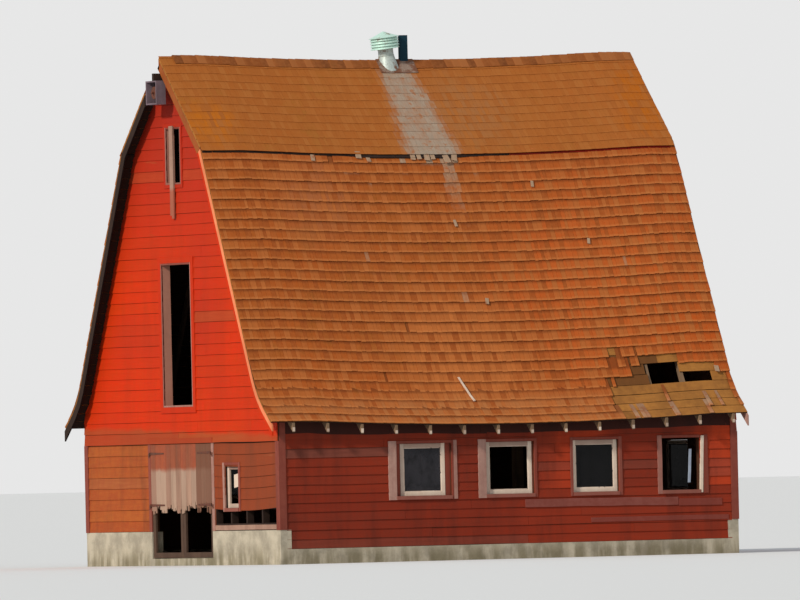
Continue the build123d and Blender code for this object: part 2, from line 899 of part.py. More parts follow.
os.makedirs("parts", exist_ok=True)
for node_name, solids in all_nodes().items():
    export_step(Compound(solids) if len(solids) > 1 else solids[0], f"parts/{node_name}.step")
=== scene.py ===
import bisect
import bmesh
import bpy
import itertools
import json
import math
import random
from mathutils import Matrix, Vector, noise
from mathutils.bvhtree import BVHTree

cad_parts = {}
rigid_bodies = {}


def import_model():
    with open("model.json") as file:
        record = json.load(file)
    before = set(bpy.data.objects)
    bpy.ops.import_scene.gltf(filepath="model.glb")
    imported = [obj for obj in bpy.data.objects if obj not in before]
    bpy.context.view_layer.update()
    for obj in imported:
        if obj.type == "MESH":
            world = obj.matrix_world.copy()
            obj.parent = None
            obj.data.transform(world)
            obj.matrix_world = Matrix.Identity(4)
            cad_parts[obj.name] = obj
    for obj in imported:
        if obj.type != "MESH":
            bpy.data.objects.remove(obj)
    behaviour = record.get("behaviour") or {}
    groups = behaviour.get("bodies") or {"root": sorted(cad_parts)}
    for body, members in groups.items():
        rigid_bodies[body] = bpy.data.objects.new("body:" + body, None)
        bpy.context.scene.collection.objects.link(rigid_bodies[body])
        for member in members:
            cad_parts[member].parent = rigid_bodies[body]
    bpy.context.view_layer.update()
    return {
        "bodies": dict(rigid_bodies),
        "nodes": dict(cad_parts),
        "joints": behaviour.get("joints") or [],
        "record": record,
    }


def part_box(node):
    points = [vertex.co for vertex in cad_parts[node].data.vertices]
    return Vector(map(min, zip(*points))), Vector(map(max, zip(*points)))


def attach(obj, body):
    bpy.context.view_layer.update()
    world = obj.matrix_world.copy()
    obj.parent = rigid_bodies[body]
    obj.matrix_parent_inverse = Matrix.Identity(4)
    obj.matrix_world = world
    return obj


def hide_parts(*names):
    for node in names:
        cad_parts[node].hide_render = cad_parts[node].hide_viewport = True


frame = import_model()
nodes = frame["nodes"]
print("frame loaded:", len(nodes), "nodes")


def clamp(value, low=0.0, high=1.0):
    return max(low, min(high, value))


# piles: many boards or shingles gathered into one mesh
def newPile():
    return {"verts": [], "faces": [], "tones": []}


def addStrip(pile, rings, chance, second=0.0, bare=0.0):
    # rings are loops of points down a board; second and bare are one value, or a list with one for each ring
    start, count, last = len(pile["verts"]), len(rings[0]), len(rings) - 1
    second, bare = [v if isinstance(v, list) else [v] * (last + 1) for v in (second, bare)]
    for ring in rings:
        pile["verts"].extend(ring)
    for i in range(last):
        a, b = start + i * count, start + (i + 1) * count
        for j in range(count):
            k = (j + 1) % count
            pile["faces"].append((a + j, a + k, b + k, b + j))
            pile["tones"].extend((chance, second[m], bare[m], 1.0) for m in (i, i, i + 1, i + 1))
    for i, order in ((0, range(count - 1, -1, -1)), (last, range(count))):
        pile["faces"].append([start + i * count + j for j in order])
        pile["tones"].extend([(chance, second[i], bare[i], 1.0)] * count)


def pileObject(name, pile, finish, replaced=(), body="building"):
    mesh = bpy.data.meshes.new(name)
    mesh.from_pydata(pile["verts"], [], pile["faces"])
    tones = mesh.attributes.new("tone", "FLOAT_COLOR", "CORNER")
    tones.data.foreach_set("color", [value for corner in pile["tones"] for value in corner])
    mesh.validate()
    mesh.update()
    piece = bpy.data.objects.new(name, mesh)
    bpy.context.scene.collection.objects.link(piece)
    work = bmesh.new()
    work.from_mesh(mesh)
    bmesh.ops.recalc_face_normals(work, faces=work.faces)
    work.to_mesh(mesh)
    work.free()
    mesh.materials.append(finishes[finish])
    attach(piece, body)
    if replaced:
        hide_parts(*replaced)


# small helpers for shader trees
def isSocket(value):
    return isinstance(value, bpy.types.NodeSocket)


def join(node, links):
    for key, value in links.items():
        if isSocket(value):
            node.id_data.links.new(value, node.inputs[key])
        else:
            node.inputs[key].default_value = value
    return node


def addNode(tree, kind, links=None, **values):
    made = tree.nodes.new("ShaderNode" + kind)
    for key, value in values.items():
        setattr(made, key, value)
    return join(made, links or {})


def maths(operation, a, b):
    tree = next(value.id_data for value in (a, b) if isSocket(value))
    return addNode(tree, "Math", {0: a, 1: b}, operation=operation).outputs[0]


def plus(a, b):
    return maths("ADD", a, b)


def minus(a, b):
    return maths("SUBTRACT", a, b)


def times(a, b):
    return maths("MULTIPLY", a, b)


def vectors(operation, a, b):
    return addNode(a.id_data, "VectorMath", {0: a, 1: b}, operation=operation).outputs


def parts(place):
    return addNode(place.id_data, "SeparateXYZ", {0: place}).outputs


def colour(code):
    # RRGGBB as a picture shows it, to the linear values that shaders use
    values = [int(code[i:i + 2], 16) for i in (0, 2, 4)]
    return (*[v / 255 / 12.92 if v <= 10 else ((v / 255 + 0.055) / 1.055) ** 2.4 for v in values], 1.0)


def layered(base, *layers):
    # colours laid over one another, each through its own mask
    for mask, tint in layers:
        a, b = [value if isSocket(value) else colour(value) for value in (base, tint)]
        base = addNode(mask.id_data, "Mix", {0: mask, 6: a, 7: b}, data_type="RGBA").outputs[2]
    return base


def noiseOf(place, scale, detail=4.0, rough=0.55, stretch=(1, 1, 1)):
    place = vectors("MULTIPLY", place, stretch)[0]
    links = {"Vector": place, "Scale": scale, "Detail": detail, "Roughness": rough}
    return addNode(place.id_data, "TexNoise", links).outputs["Fac"]


def ramp(value, low, high):
    # 0 at low, 1 at high, smooth between
    links = {"Value": value, "From Min": low, "From Max": high}
    return addNode(value.id_data, "MapRange", links, interpolation_type="SMOOTHSTEP").outputs[0]


def spread(value, low, high):
    # a value from 0 to 1, spread from low to high
    return addNode(value.id_data, "MapRange", {"Value": value, "To Min": low, "To Max": high}).outputs[0]


def makeWeatherGroup():
    # grain along a board, peeled patches, run-down dirt
    group = bpy.data.node_groups.new("boardWeather", "ShaderNodeTree")
    vector, number = "NodeSocketVector", "NodeSocketFloat"
    group.interface.new_socket("Place", in_out="INPUT", socket_type=vector)
    for label, kind, value in (("Along", vector, (1, 1, 1)), ("Tone", number, 0.5), ("Peel", number, 0.3)):
        group.interface.new_socket(label, in_out="INPUT", socket_type=kind).default_value = value
    for label in ("Grain", "Peeled", "Dirt"):
        group.interface.new_socket(label, in_out="OUTPUT", socket_type=number)
    got = group.nodes.new("NodeGroupInput").outputs
    place = got["Place"]
    turned = vectors("MULTIPLY", place, got["Along"])[0]
    moved = vectors("ADD", turned, times(got["Tone"], 37.0))[0]
    grain = noiseOf(moved, 26.0, 6.0, 0.65)
    mixed = plus(times(noiseOf(moved, 5.0, 5.0, 0.6), 0.6), times(noiseOf(place, 0.7, 3.0, 0.5), 0.5))
    mixed = plus(mixed, times(grain, 0.25))
    peeled = ramp(minus(mixed, minus(1.0, times(got["Peel"], 0.62))), -0.02, 0.05)
    dirt = ramp(noiseOf(place, 2.6, 5.0, 0.6, (1, 1, 0.16)), 0.42, 0.68)
    join(group.nodes.new("NodeGroupOutput"), {"Grain": grain, "Peeled": peeled, "Dirt": dirt})
    return group


boardWeather = makeWeatherGroup()


def placeWeather(place, along, tone, peel):
    links = {"Place": place, "Along": along, "Tone": tone, "Peel": peel}
    return addNode(place.id_data, "Group", links, node_tree=boardWeather).outputs


def startMaterial(name):
    material = bpy.data.materials.new(name)
    material.use_nodes = True
    tree = material.node_tree
    tree.nodes.clear()
    shader = addNode(tree, "BsdfPrincipled")
    addNode(tree, "OutputMaterial", {0: shader.outputs[0]})
    return material, shader, addNode(tree, "TexCoord").outputs["Object"]


def toneParts(place):
    attribute = addNode(place.id_data, "Attribute", attribute_name="tone")
    return addNode(place.id_data, "SeparateColor", {0: attribute.outputs["Color"]}).outputs


def finishShader(shader, base, rough, shine, relief, strength, depth=0.004):
    bump = addNode(shader.id_data, "Bump", {"Height": relief, "Strength": strength, "Distance": depth})
    normal = bump.outputs[0]
    join(shader, {"Base Color": base, "Roughness": rough, "Specular IOR Level": shine, "Normal": normal})


def boardMaterial(name, look):
    # tone: red is chance, green picks the second paint, blue bares the wood
    material, shader, place = startMaterial(name)
    chance, second, bared = toneParts(place)
    grain, peeling, dirt = placeWeather(place, look["along"], chance, look["peel"])
    mottle = ramp(noiseOf(place, 9.0, 5.0, 0.7), 0.35, 0.65)
    fade = plus(times(chance, 0.5), times(mottle, 0.5))
    fresh = layered(look["paint"], (fade, look["faded"]), (second, look["second"]))
    if "low" in look:
        paint, faded, top, tilt = look["low"]
        spot = parts(place)
        height = plus(plus(spot[2], times(spot[1], tilt)), times(noiseOf(place, 2.2), 0.16))
        low = times(ramp(height, top + 0.12, top + 0.02), minus(1.0, second))
        fresh = layered(fresh, (low, layered(paint, (chance, faded))))
    peeled = maths("MAXIMUM", peeling, bared)
    bare = layered(look["bare"], (grain, look["bareDark"]))
    soiled = (times(dirt, look["dirt"]), look["soil"])
    finished = layered(fresh, (times(grain, 0.55), look["grain"]), (peeled, bare), soiled)
    # faces turned downwards are darkened: painted shade on the undersides
    if "soffit" in look:
        normal = addNode(place.id_data, "NewGeometry").outputs["True Normal"]
        finished = layered(finished, (ramp(parts(normal)[2], -0.1, -0.3), look["soffit"]))
    relief = minus(grain, times(peeled, 0.4))
    finishShader(shader, finished, spread(peeled, look["rough"], 0.92), 0.12, relief, look["bump"])
    return material


def nearSpot(place, spot, inner, outer):
    # 1 near a place, 0 away from it, with a cloudy edge
    away = vectors("DISTANCE", place, spot)["Value"]
    cloud = times(noiseOf(place, 1.8, 4.0, 0.6), outer)
    return ramp(plus(away, cloud), outer * 1.5, inner + outer * 0.5)


def shingleMaterial(name, look):
    # tone: red is chance, green runs from butt to head, blue is how bleached it is
    material, shader, place = startMaterial(name)
    chance, down, pale = toneParts(place)
    grain = placeWeather(place, look["along"], chance, 0.4)[0]
    cloud = noiseOf(place, 1.6, 5.0, 0.65)
    spot = parts(place)
    base = layered(
        look["brown"],
        (ramp(noiseOf(place, 0.5), 0.36, 0.64), look["rust"]),
        (ramp(cloud, 0.48, 0.72), look["olive"]),
        (times(ramp(spot[0], 0.5, 4.4), 0.6), look["rear"]),
        *[(nearSpot(place, *patch[:3]), patch[3]) for patch in look["patches"]],
        (times(ramp(spot[2], 2.85, 2.55), 0.7), look["flare"]),
        (ramp(chance, 0.5, 1.0), look["light"]),
        (ramp(chance, 0.4, 0.0), look["dark"]),
        (times(ramp(noiseOf(place, 14.0, 4.0, 0.7), 0.4, 0.7), 0.45), look["light"]),
        (times(grain, 0.5), look["grain"]),
        (times(ramp(down, 0.15, 0.02), look["buttShare"]), look["butt"]),  # a painted highlight on the lower end
        (times(ramp(down, 0.3, 0.48), look["underShare"]), look["under"]),  # dirt and painted shade under the next course
    )
    specks = times(ramp(noiseOf(place, 8.0, 3.0, 0.6), 0.56, 0.68), 0.6)
    bleached = layered(look["pale"], (grain, look["paleDark"]), (specks, look["dark"]))
    rag = plus(times(cloud, 0.6), times(noiseOf(place, 6.0, 4.0, 0.7), 0.7))
    edge = ramp(plus(times(pale, 1.3), minus(rag, 0.65)), 0.24, 1.0)
    finishShader(shader, layered(base, (edge, bleached)), 0.88, 0.12, grain, look["bump"])
    return material


def stoneMaterial(name, look):
    material, shader, place = startMaterial(name)
    coarse, fine = noiseOf(place, 3.0, 8.0, 0.65), noiseOf(place, 60.0, 4.0, 0.6)
    streak = ramp(noiseOf(place, 4.0, 4.0, 0.6, (1, 1, 0.2)), 0.35, 0.6)
    damp = times(times(ramp(parts(place)[2], 0.42, 0.05), streak), 0.7)
    mottled = (ramp(coarse, 0.35, 0.65), look["grey"])
    base = layered(look["pale"], mottled, (times(fine, 0.35), look["grain"]), (damp, look["moss"]))
    finishShader(shader, base, 0.93, 0.2, plus(coarse, times(fine, 0.3)), 0.6, 0.012)
    return material


def metalMaterial(name, look):
    material, shader, place = startMaterial(name)
    patch, fine = noiseOf(place, look["patchScale"], 6.0, 0.65), noiseOf(place, 45.0, 4.0, 0.6)
    rusty = ramp(plus(patch, times(fine, 0.15)), *look["rusting"])
    base = layered(look["sheet"], (ramp(fine, 0.3, 0.7), look["dull"]), (rusty, look["rust"]))
    finishShader(shader, base, spread(rusty, look["rough"], 0.9), 0.5, patch, 0.4, 0.01)
    join(shader, {"Metallic": spread(rusty, look["metallic"], 0.0)})
    return material


def glassMaterial(name, look):
    # the near-black, nearly opaque glass is painted shade of the dark inside; the grey mixed in is dust and
    # a painted reflection
    material, shader, place = startMaterial(name)
    dust = noiseOf(place, 5.0, 5.0, 0.6)
    dustAndSheenMask = times(toneParts(place)[0], ramp(dust, 0.15, 0.6))
    join(shader, {
        "Base Color": layered(look["clear"], (dustAndSheenMask, look["dusty"])), "Roughness": spread(dust, 0.05, 0.4),
        "Alpha": look["alpha"], "IOR": 1.5, "Specular IOR Level": 0.12,
    })
    return material


# finishes of boards: wear, and colours; low is paint, faded paint, the height it reaches and how that tilts
boardColours = "paint faded second grain soil bare bareDark"
shingleColours = "brown rust olive light dark grain butt under pale paleDark rear flare"


def coloured(look, names, colours, **more):
    return dict(look, **dict(zip(names.split(), colours.split())), **more)


def boards(wear, colours, **more):
    return coloured(wear, boardColours, colours, **more)


gableWear = dict(along=(1, 0.05, 1), peel=0.2, rough=0.72, dirt=0.2, bump=0.35)
lowWear = dict(gableWear, peel=0.3, dirt=0.4)
sideWear = dict(along=(0.05, 1, 1), peel=0.22, rough=0.75, dirt=0.4, bump=0.4)
bareWear = dict(along=(0.08, 1, 1), peel=0.2, rough=0.85, dirt=0.35, bump=0.5, soffit="281a14")
darkWear = dict(bareWear, along=(1, 1, 0.06), soffit="181210")
trimWear = dict(
    along=(1, 1, 0.06), peel=0.25, rough=0.7, dirt=0.3, bump=0.35, bare="8c7062", bareDark="644e44",
)
doorWear = dict(trimWear, rough=0.85, dirt=0.35, bump=0.5)
boardLooks = dict(
    gableRed=boards(
        gableWear, "d42c00 c63602 9e261a 9c2604 8e280e b4562c 843820", low=("a85428", "963c20", 2.25, -0.03)
    ),
    lowRed=boards(lowWear, "b25e26 a64820 8a3c1e 76381e 5c3422 a0704e 843820"),
    # the long walls' darker red is partly weathered paint and partly painted shade
    sideRed=boards(sideWear, "8c2b15 7e301f cc441e 662618 48221a 865244 58362e"),
    sheathing=boards(lowWear, "5c3826 503022 503022 3c281e 30221a a0704e 843820"),
    eaveShade=boards(sideWear, "421e16 381c16 381c16 2c1612 241612 865244 58362e", peel=0.1),
    roofBoards=boards(bareWear, "b87c3a 9c6632 54301a 784c26 58381e ac8a62 705438"),
    innerTimber=boards(bareWear, "8c7056 7c6450 54301a 5c4a3c 46382e 967c62 625040", soffit="5a4638"),
    darkTimber=boards(darkWear, "3a2a22 2e221e 281e1c 221a18 1c1614 46362c 2c221c"),
    kneeBoard=boards(darkWear, "3a2a22 2e221e 961a06 221a18 1c1614 46362c 2c221c"),
    stayWood=boards(darkWear, "1e4250 183644 281e1c 122630 141e24 2e4248 1e2c32"),
    fadedTrim=boards(trimWear, "ba9284 a07468 802a18 825c50 5c382e"),
    rakeTrim=boards(trimWear, "f69a6c ee865c be5a32 b4643c 964c2c"),
    rakeBrown=boards(trimWear, "a05626 964e22 824622 783c1c 64321a a46438 784222"),
    cornerTrim=boards(trimWear, "8c483a 7e382e 6e281e 683228 4c261e"),
    creamSash=boards(trimWear, "f0e0cc e0c8b4 78544c bca28c 5c382e", peel=0.18, dirt=0.15),
    greyPlank=boards(trimWear, "b08c7a a07c6a 8c6454 826252 5c382e"),
    hangingPlank=boards(trimWear, "b08c7a a07c6a 8c6454 826252 5c382e", low=("b05c42", "a04e3a", 6.3, 0.0)),
    apronPaint=boards(trimWear, "8e5248 803e34 863224 6c342a 5a2a20 8c5a50", along=(0.05, 1, 1)),
    splinterPaint=boards(trimWear, "b0bccc 96a0b2 5a5a60 787c88 504e52 828084 5a585c"),
    hayReveal=boards(trimWear, "dea08a cc907c 96543c a07262 5c382e"),
    doorPlanks=boards(
        doorWear, "a64c28 943e24 623e2c 765e50 543e30 b89e8c 705a4c", peel=0.12,
        low=("c0a08a", "a08270", 1.62, 0.0),
    ),
    doorFrame=boards(doorWear, "604a3c 523e34 623e2c 3e3028 30241e 685446 40322a"),
    carrierWood=boards(doorWear, "88767e 74646c 623e2c 605054 3e3434 b89e8c 705a4c"),
)

# finishes of shingles; a patch is a place, the radius of its middle, how wide its edge is, and a colour
shingleWear = dict(along=(1, 0.2, 0.2), bump=0.35, buttShare=0.1, underShare=0.12)
upperColours = "a66128 a45a22 9c6226 aa662e a05a24 965424 b6703a 864a20 b09c8a 8a7866 ac5e26 b47848"
lowerColours = "a85822 b0561e a05a22 b86832 9e4e1e 844620 cc8046 582a12 bea084 846852 b85220 b47848"
capColours = "884c24 80441e 784824 a06236 60341a 965424 b6703a 502812 b09c8a 8a7866 864820 b47848"
upperPatches = [
    ((-4.15, -1.1, 7.35), 0.1, 0.75, "be6808"), ((0.8, -1.0, 7.6), 0.3, 1.3, "a06a3e"),
    ((4.3, -1.0, 7.9), 0.4, 1.1, "b66006"),
]
lowerPatches = [
    ((2.2, -2.8, 4.6), 0.8, 2.8, "c65c22"), ((-0.6, -3.2, 3.4), 0.6, 1.7, "c67238"),
    ((3.9, -3.4, 3.9), 0.3, 1.4, "c05418"), ((-2.6, -2.2, 6.2), 0.3, 1.2, "ac643a"),
]
lowerWear = dict(shingleWear, bump=0.5, buttShare=0.42, underShare=0.55)
shingleLooks = dict(
    upperShingles=coloured(shingleWear, shingleColours, upperColours, patches=upperPatches),
    lowerShingles=coloured(lowerWear, shingleColours, lowerColours, patches=lowerPatches),
    capShingles=coloured(dict(shingleWear, underShare=0.2), shingleColours, capColours, patches=[]),
)

stoneLooks = dict(oldConcrete=dict(pale="c4b8a2", grey="a09684", grain="746a5c", moss="645a3e"))
zinc = dict(patchScale=5.0, rusting=(0.56, 0.7), metallic=0.35, rough=0.5, rust="7a543e")
iron = dict(patchScale=20.0, rusting=(0.35, 0.6), metallic=0.5, rough=0.6, rust="603220")
metalLooks = dict(
    galvanisedSheet=dict(zinc, sheet="bac4be", dull="a0a8a2"),
    mintSheet=dict(zinc, sheet="c4e6d8", dull="b2cec2", rusting=(0.62, 0.74)),
    rustedSaddle=dict(
        zinc, sheet="968070", dull="846c5e", rust="6e422a", rusting=(0.45, 0.62), metallic=0.2, rough=0.7
    ),
    rustyIron=dict(iron, sheet="463c36", dull="362e2a"),
)
glassLooks = dict(oldGlass=dict(clear="0c0c0c", dusty="363438", alpha=0.9))
makers = (
    (boardMaterial, boardLooks), (shingleMaterial, shingleLooks), (stoneMaterial, stoneLooks),
    (metalMaterial, metalLooks), (glassMaterial, glassLooks),
)
finishes = {name: make(name, look) for make, looks in makers for name, look in looks.items()}
print("materials made")


# the roof's surface, measured on the frame by rays
def treeOf(*names):
    verts, faces = [], []
    for name in names:
        mesh = nodes[name].data
        start = len(verts)
        verts.extend(v.co.copy() for v in mesh.vertices)
        faces.extend(tuple(start + i for i in p.vertices) for p in mesh.polygons)
    return BVHTree.FromPolygons(verts, faces)


halfLength = -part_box("front_wall_left")[0][0]
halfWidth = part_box("north_wall")[1][1]
stepOut = -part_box("front_gable_wall")[0][0] - halfLength
frontEnd, rearEnd = [corner[0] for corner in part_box("roof_lower_south")]
eaveReach = -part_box("roof_lower_south")[0][1]
kneeReach = -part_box("roof_upper_south")[0][1]
roofLength = rearEnd - frontEnd
wholeRoof = treeOf("roof_upper_south", "roof_lower_north")  # these two slopes have no damage
deckDepth = 0.045
measuring = dict(steps=400, sagSteps=60, inset=0.01, edge=0.0005, far=20)


def surfaceAt(x, y):
    side = 1 if y > kneeReach else -1
    start = Vector((x, side * max(y, measuring["edge"]), measuring["far"]))
    return wholeRoof.ray_cast(start, Vector((0, 0, -1)))[0].z


def measureOutline():
    x, steps = frontEnd + measuring["inset"], measuring["steps"]
    reaches = [min(eaveReach * i / steps, eaveReach - measuring["edge"]) for i in range(steps + 1)]
    points = [(y, surfaceAt(x, y)) for y in reaches]
    stretches = (math.dist(a, b) for a, b in zip(points, points[1:]))
    return points, reaches, list(itertools.accumulate(stretches, initial=0.0))


def measureSag():
    steps, inset = measuring["sagSteps"], measuring["inset"]
    spots = [frontEnd + roofLength * i / steps for i in range(steps + 1)]
    return [outlinePoints[0][1] - surfaceAt(clamp(x, frontEnd + inset, rearEnd - inset), 0.0) for x in spots]


outlinePoints, outlineReaches, outlineRuns = measureOutline()
roofRun = outlineRuns[-1]
kneeRun = next(run for reach, run in zip(outlineReaches, outlineRuns) if reach >= kneeReach)
sagTable = measureSag()


def tableAt(table, share):
    # a value between the even steps of a table
    spot = share * (len(table) - 1)
    i = clamp(int(spot), 0, len(table) - 2)
    return table[i] + (table[i + 1] - table[i]) * (spot - i)


def sagHere(x):
    return tableAt(sagTable, (x - frontEnd) / roofLength)


def onOutline(at, stops=outlineRuns):
    # place and down-slope direction at a distance from the ridge, along the slope or level
    at = clamp(at, 0.0, stops[-1] - 1e-6)
    i = bisect.bisect_right(stops, at)
    (y0, z0), (y1, z1) = outlinePoints[i - 1:i + 1]
    length = outlineRuns[i] - outlineRuns[i - 1]
    t = (at - stops[i - 1]) / (stops[i] - stops[i - 1])
    return y0 + (y1 - y0) * t, z0 + (z1 - z0) * t, ((y1 - y0) / length, (z1 - z0) / length)


def overSlope(side, x, y, z, slope, rise):
    return (x, side * (y - slope[1] * rise), z + slope[0] * rise - sagHere(x))


def roofPoint(side, x, s, rise, direction=None, limit=None):
    # a point over the roof's surface; a negative rise lies inside the roof, and past the limit
    # the slope runs on straight
    beyond = max(0.0, s - limit) if limit else min(0.0, s)
    y, z, slope = onOutline(s - beyond)
    slope = direction or slope
    return overSlope(side, x, y + slope[0] * beyond, z + slope[1] * beyond, slope, rise)


# shingles: length that shows, range of widths, gap, thickness of both ends, and how uneven they lie
upperShingles = dict(
    course=0.185, widths=(0.05, 0.11), gap=0.002, butt=0.007, head=0.001, uneven=0.004, missing=0.0,
    curl=0.002, alternate=0.0, overlap=0.02, narrowest=0.03, edge=0.004, seed=11,
)
lowerShingles = dict(
    upperShingles, widths=(0.05, 0.12), gap=0.003, butt=0.012, uneven=0.006, missing=0.003, curl=0.006,
    alternate=0.004, seed=12,
)
hole = dict(
    left=2.767, middle=3.427, right=4.087, top=3.29, slit=3.10, bottom=2.92, clear=0.03,
    boards=(-0.06, 0.02), tornLeft=(-0.1, 0.12), tornRight=(-0.12, 0.1),
)
bareRoof = dict(
    left=2.05, right=4.33, step=2.5, top=2.97, frontTop=2.86, ragged=0.14, kept=0.06, eaveTop=2.58,
    patch=(2.15, 2.76), patchUp=(3.0, 3.36), patchKept=0.55, round=0.07,
)
broken = dict(run=0.8, boardRun=0.78, back=0.02, torn=(0.02, 0.2))  # the lost overhang of the north side


def inHole(x, z, grow):
    if z < hole["bottom"] - grow or x < hole["left"] - grow or x > hole["right"] + grow:
        return False
    return z < (hole["top"] if x < hole["middle"] else hole["slit"]) + min(grow, 0.01)


def stripped(x, z, chance):
    # where the shingles have gone round the hole and down to the eave
    (left, right), (low, high) = bareRoof["patch"], bareRoof["patchUp"]
    patch = left < x < right and low < z < high and chance > bareRoof["patchKept"]
    if patch or inHole(x, z, bareRoof["round"]):
        return True
    edge = bareRoof["ragged"] * noise.noise(Vector((x * 2.1, z * 2.7, 3.0)))
    top = bareRoof["frontTop"] if x < bareRoof["step"] else bareRoof["top"]
    inside = bareRoof["left"] + edge < x < bareRoof["right"] + edge and z < top + edge
    return inside and (chance > bareRoof["kept"] or z > bareRoof["eaveTop"])


# the streak below the ventilator widens downwards; past the knee it is a thin line
streak = dict(
    middle=-0.18, drift=0.03, half=0.34, widen=0.22, edge=1.3, most=0.7, end=1.035, line=0.03, lineHalf=0.13,
    lineMost=0.6, fading=0.3,
)
bleaching = dict(
    survivors=0.5, eaveRun=0.62, inset=0.2, kneeRun=0.45, kneeSpan=(-2.0, 0.9), kneeShare=0.2, knee=0.75,
    northShare=0.004, north=0.5, southShare=0.0015, south=0.45,
)


def bleachAt(side, x, s, chance):
    # the bleached streak, the broken shingles at the knee, and single pale ones
    if side > 0:
        return bleaching["north"] if chance < bleaching["northShare"] else 0.0
    down, run = s / kneeRun, s - kneeRun
    if down < streak["end"]:
        near = abs(x - streak["middle"] + streak["drift"] * down) / (streak["half"] + streak["widen"] * down)
        return clamp(streak["edge"] - near, 0.0, streak["most"]) * (0.85 + 0.15 * chance)
    inset = bleaching["inset"]
    if roofRun - s < bleaching["eaveRun"] and bareRoof["left"] + inset < x < bareRoof["right"] - inset:
        return bleaching["survivors"]
    left, right = bleaching["kneeSpan"]
    fading = streak["fading"] * run
    if run < bleaching["kneeRun"] and left < x < right and chance < bleaching["kneeShare"] - fading:
        return bleaching["knee"]
    if abs(x - streak["line"]) < streak["lineHalf"]:
        return max(0.0, streak["lineMost"] - fading)
    return bleaching["south"] if chance < bleaching["southShare"] else 0.0


def makeShingles(name, side, start, end, look, finish, replaced, limit):
    draw = random.Random(look["seed"] + side * 7)
    pile = newPile()
    course, thick, last = look["course"], look["butt"], rearEnd - look["edge"]
    for i in range(math.ceil((end - start) / course)):
        x = frontEnd + look["edge"]
        while x < rearEnd - look["narrowest"]:
            width = draw.uniform(*look["widths"])
            chance, tone, bleach = draw.random(), draw.random(), draw.random()
            slip = draw.uniform(-1, 1) * look["uneven"]
            curl = draw.random() ** 3 * look["curl"] + (look["alternate"] if i % 2 else 0.0)
            width = min(width, last - x)
            middle = x + width / 2
            s = end - i * course + (min(slip, 0.0) if i == 0 else slip)
            head = max(start - look["overlap"], s - 2 * course)
            z, slope = onOutline(s)[1:]
            z -= sagHere(x)
            above = z - course * slope[1]
            gone = side < 0 and (stripped(middle, z, chance) or inHole(middle, above, hole["clear"]))
            gone = gone or (side > 0 and s < broken["run"] and x < -halfLength - broken["back"])
            gone = gone or (chance < look["missing"] and i > 0)
            if width > look["narrowest"] and not gone:
                share = (s - head) / (2 * course)
                left, right = x, x + width - look["gap"]
                rings, pale = [], []
                foot = (s, thick, 2 * thick + curl)
                upper = (head, thick * (1 - share), 2 * thick * (1 - share) + look["head"])
                for at, low, high in (foot, upper):
                    corners = ((left, low), (right, low), (right, high), (left, high + curl * 0.5))
                    ring = [roofPoint(side, cx, at, rise - 2 * thick, None, limit) for cx, rise in corners]
                    rings.append(ring)
                    pale.append(bleachAt(side, middle, at, bleach))
                addStrip(pile, rings, tone, [0.0, share], pale)
            x += width
    pileObject(name, pile, finish, [replaced])


roofBoards = dict(
    width=0.19, gap=0.008, edge=0.003, lengths=(1.9, 2.53, 3.17, 3.8), stub=0.4, cut=0.5, stain=0.8,
    stained=(2.9, 3.4), seed=5,
)


def makeRoofBoards(name, side, start, end, cover):
    draw = random.Random(roofBoards["seed"] + int(side * 3 + start * 5))
    pile = newPile()
    width, edge = roofBoards["width"], roofBoards["edge"]
    last = rearEnd - edge
    for i in range(math.ceil((end - start) / width)):
        s1 = end - i * width
        s0 = max(start, s1 - width + roofBoards["gap"])
        if s1 - s0 < 0.02:
            continue
        x = frontEnd + edge
        while x < rearEnd - 0.01:
            length, tone = draw.choice(roofBoards["lengths"]), draw.random()
            x1 = min(x + length, last)
            if rearEnd - x1 < roofBoards["stub"]:
                x1 = last
            addRoofBoard(pile, side, (x, x1), (s0, s1), cover, tone, draw)
            x = x1 + edge
    pileObject(name, pile, "roofBoards")


def addRoofBoard(pile, side, reach, run, cover, tone, draw):
    (x0, x1), (s0, s1) = reach, run
    middle = (s0 + s1) / 2
    z, slope = onOutline(middle)[1:]
    spans = [(x0, x1)]
    height = z - sagHere((hole["left"] + hole["right"]) / 2)
    below, above = hole["boards"]
    if side < 0 and hole["bottom"] + below < height < hole["top"] + above:
        far = hole["middle"] if height > hole["slit"] else hole["right"]
        gapLow = hole["left"] + draw.uniform(*hole["tornLeft"])
        gapHigh = far + draw.uniform(*hole["tornRight"])
        spans = [(x0, min(x1, gapLow)), (max(x0, gapHigh), x1)]
    if side > 0 and middle < broken["boardRun"]:
        spans = [(max(a, -halfLength - draw.uniform(*broken["torn"])), b) for a, b in spans]
    low, high = roofBoards["stained"]
    bottom = -deckDepth + 0.001
    corners = ((s0, bottom), (s1, bottom), (s1, -cover), (s0, -cover))
    for a, b in spans:
        if b - a < 0.05:
            continue
        cuts = max(1, int((b - a) / roofBoards["cut"]))
        stops = [a + (b - a) * k / cuts for k in range(cuts + 1)]
        stained = side < 0 and a < hole["left"] + 0.1 and low < height < high
        rings = [[roofPoint(side, x, s, rise, slope) for s, rise in corners] for x in stops]
        addStrip(pile, rings, tone, roofBoards["stain"] if stained else 0.0)


# for each slope: start and end of its shingles, start and end of its boards, and its kind of shingles
knee = dict(overlap=0.07, straight=0.03, joint=0.03)
slopes = dict(
    upper=((0.0, kneeRun + knee["overlap"]), (0.03, kneeRun - knee["joint"]), upperShingles),
    lower=((kneeRun, roofRun - 0.012), (kneeRun + knee["joint"], roofRun - 0.02), lowerShingles),
)
for sideName, side in (("south", -1), ("north", 1)):
    for slopeName, (reach, boardReach, look) in slopes.items():
        label = slopeName + "_" + sideName
        limit = kneeRun - knee["straight"] if slopeName == "upper" else None
        makeShingles("shingles_" + label, side, *reach, look, slopeName + "Shingles", "roof_" + label, limit)
        makeRoofBoards("roof_boards_" + label, side, *boardReach, 2 * look["butt"])
print("roof covered")

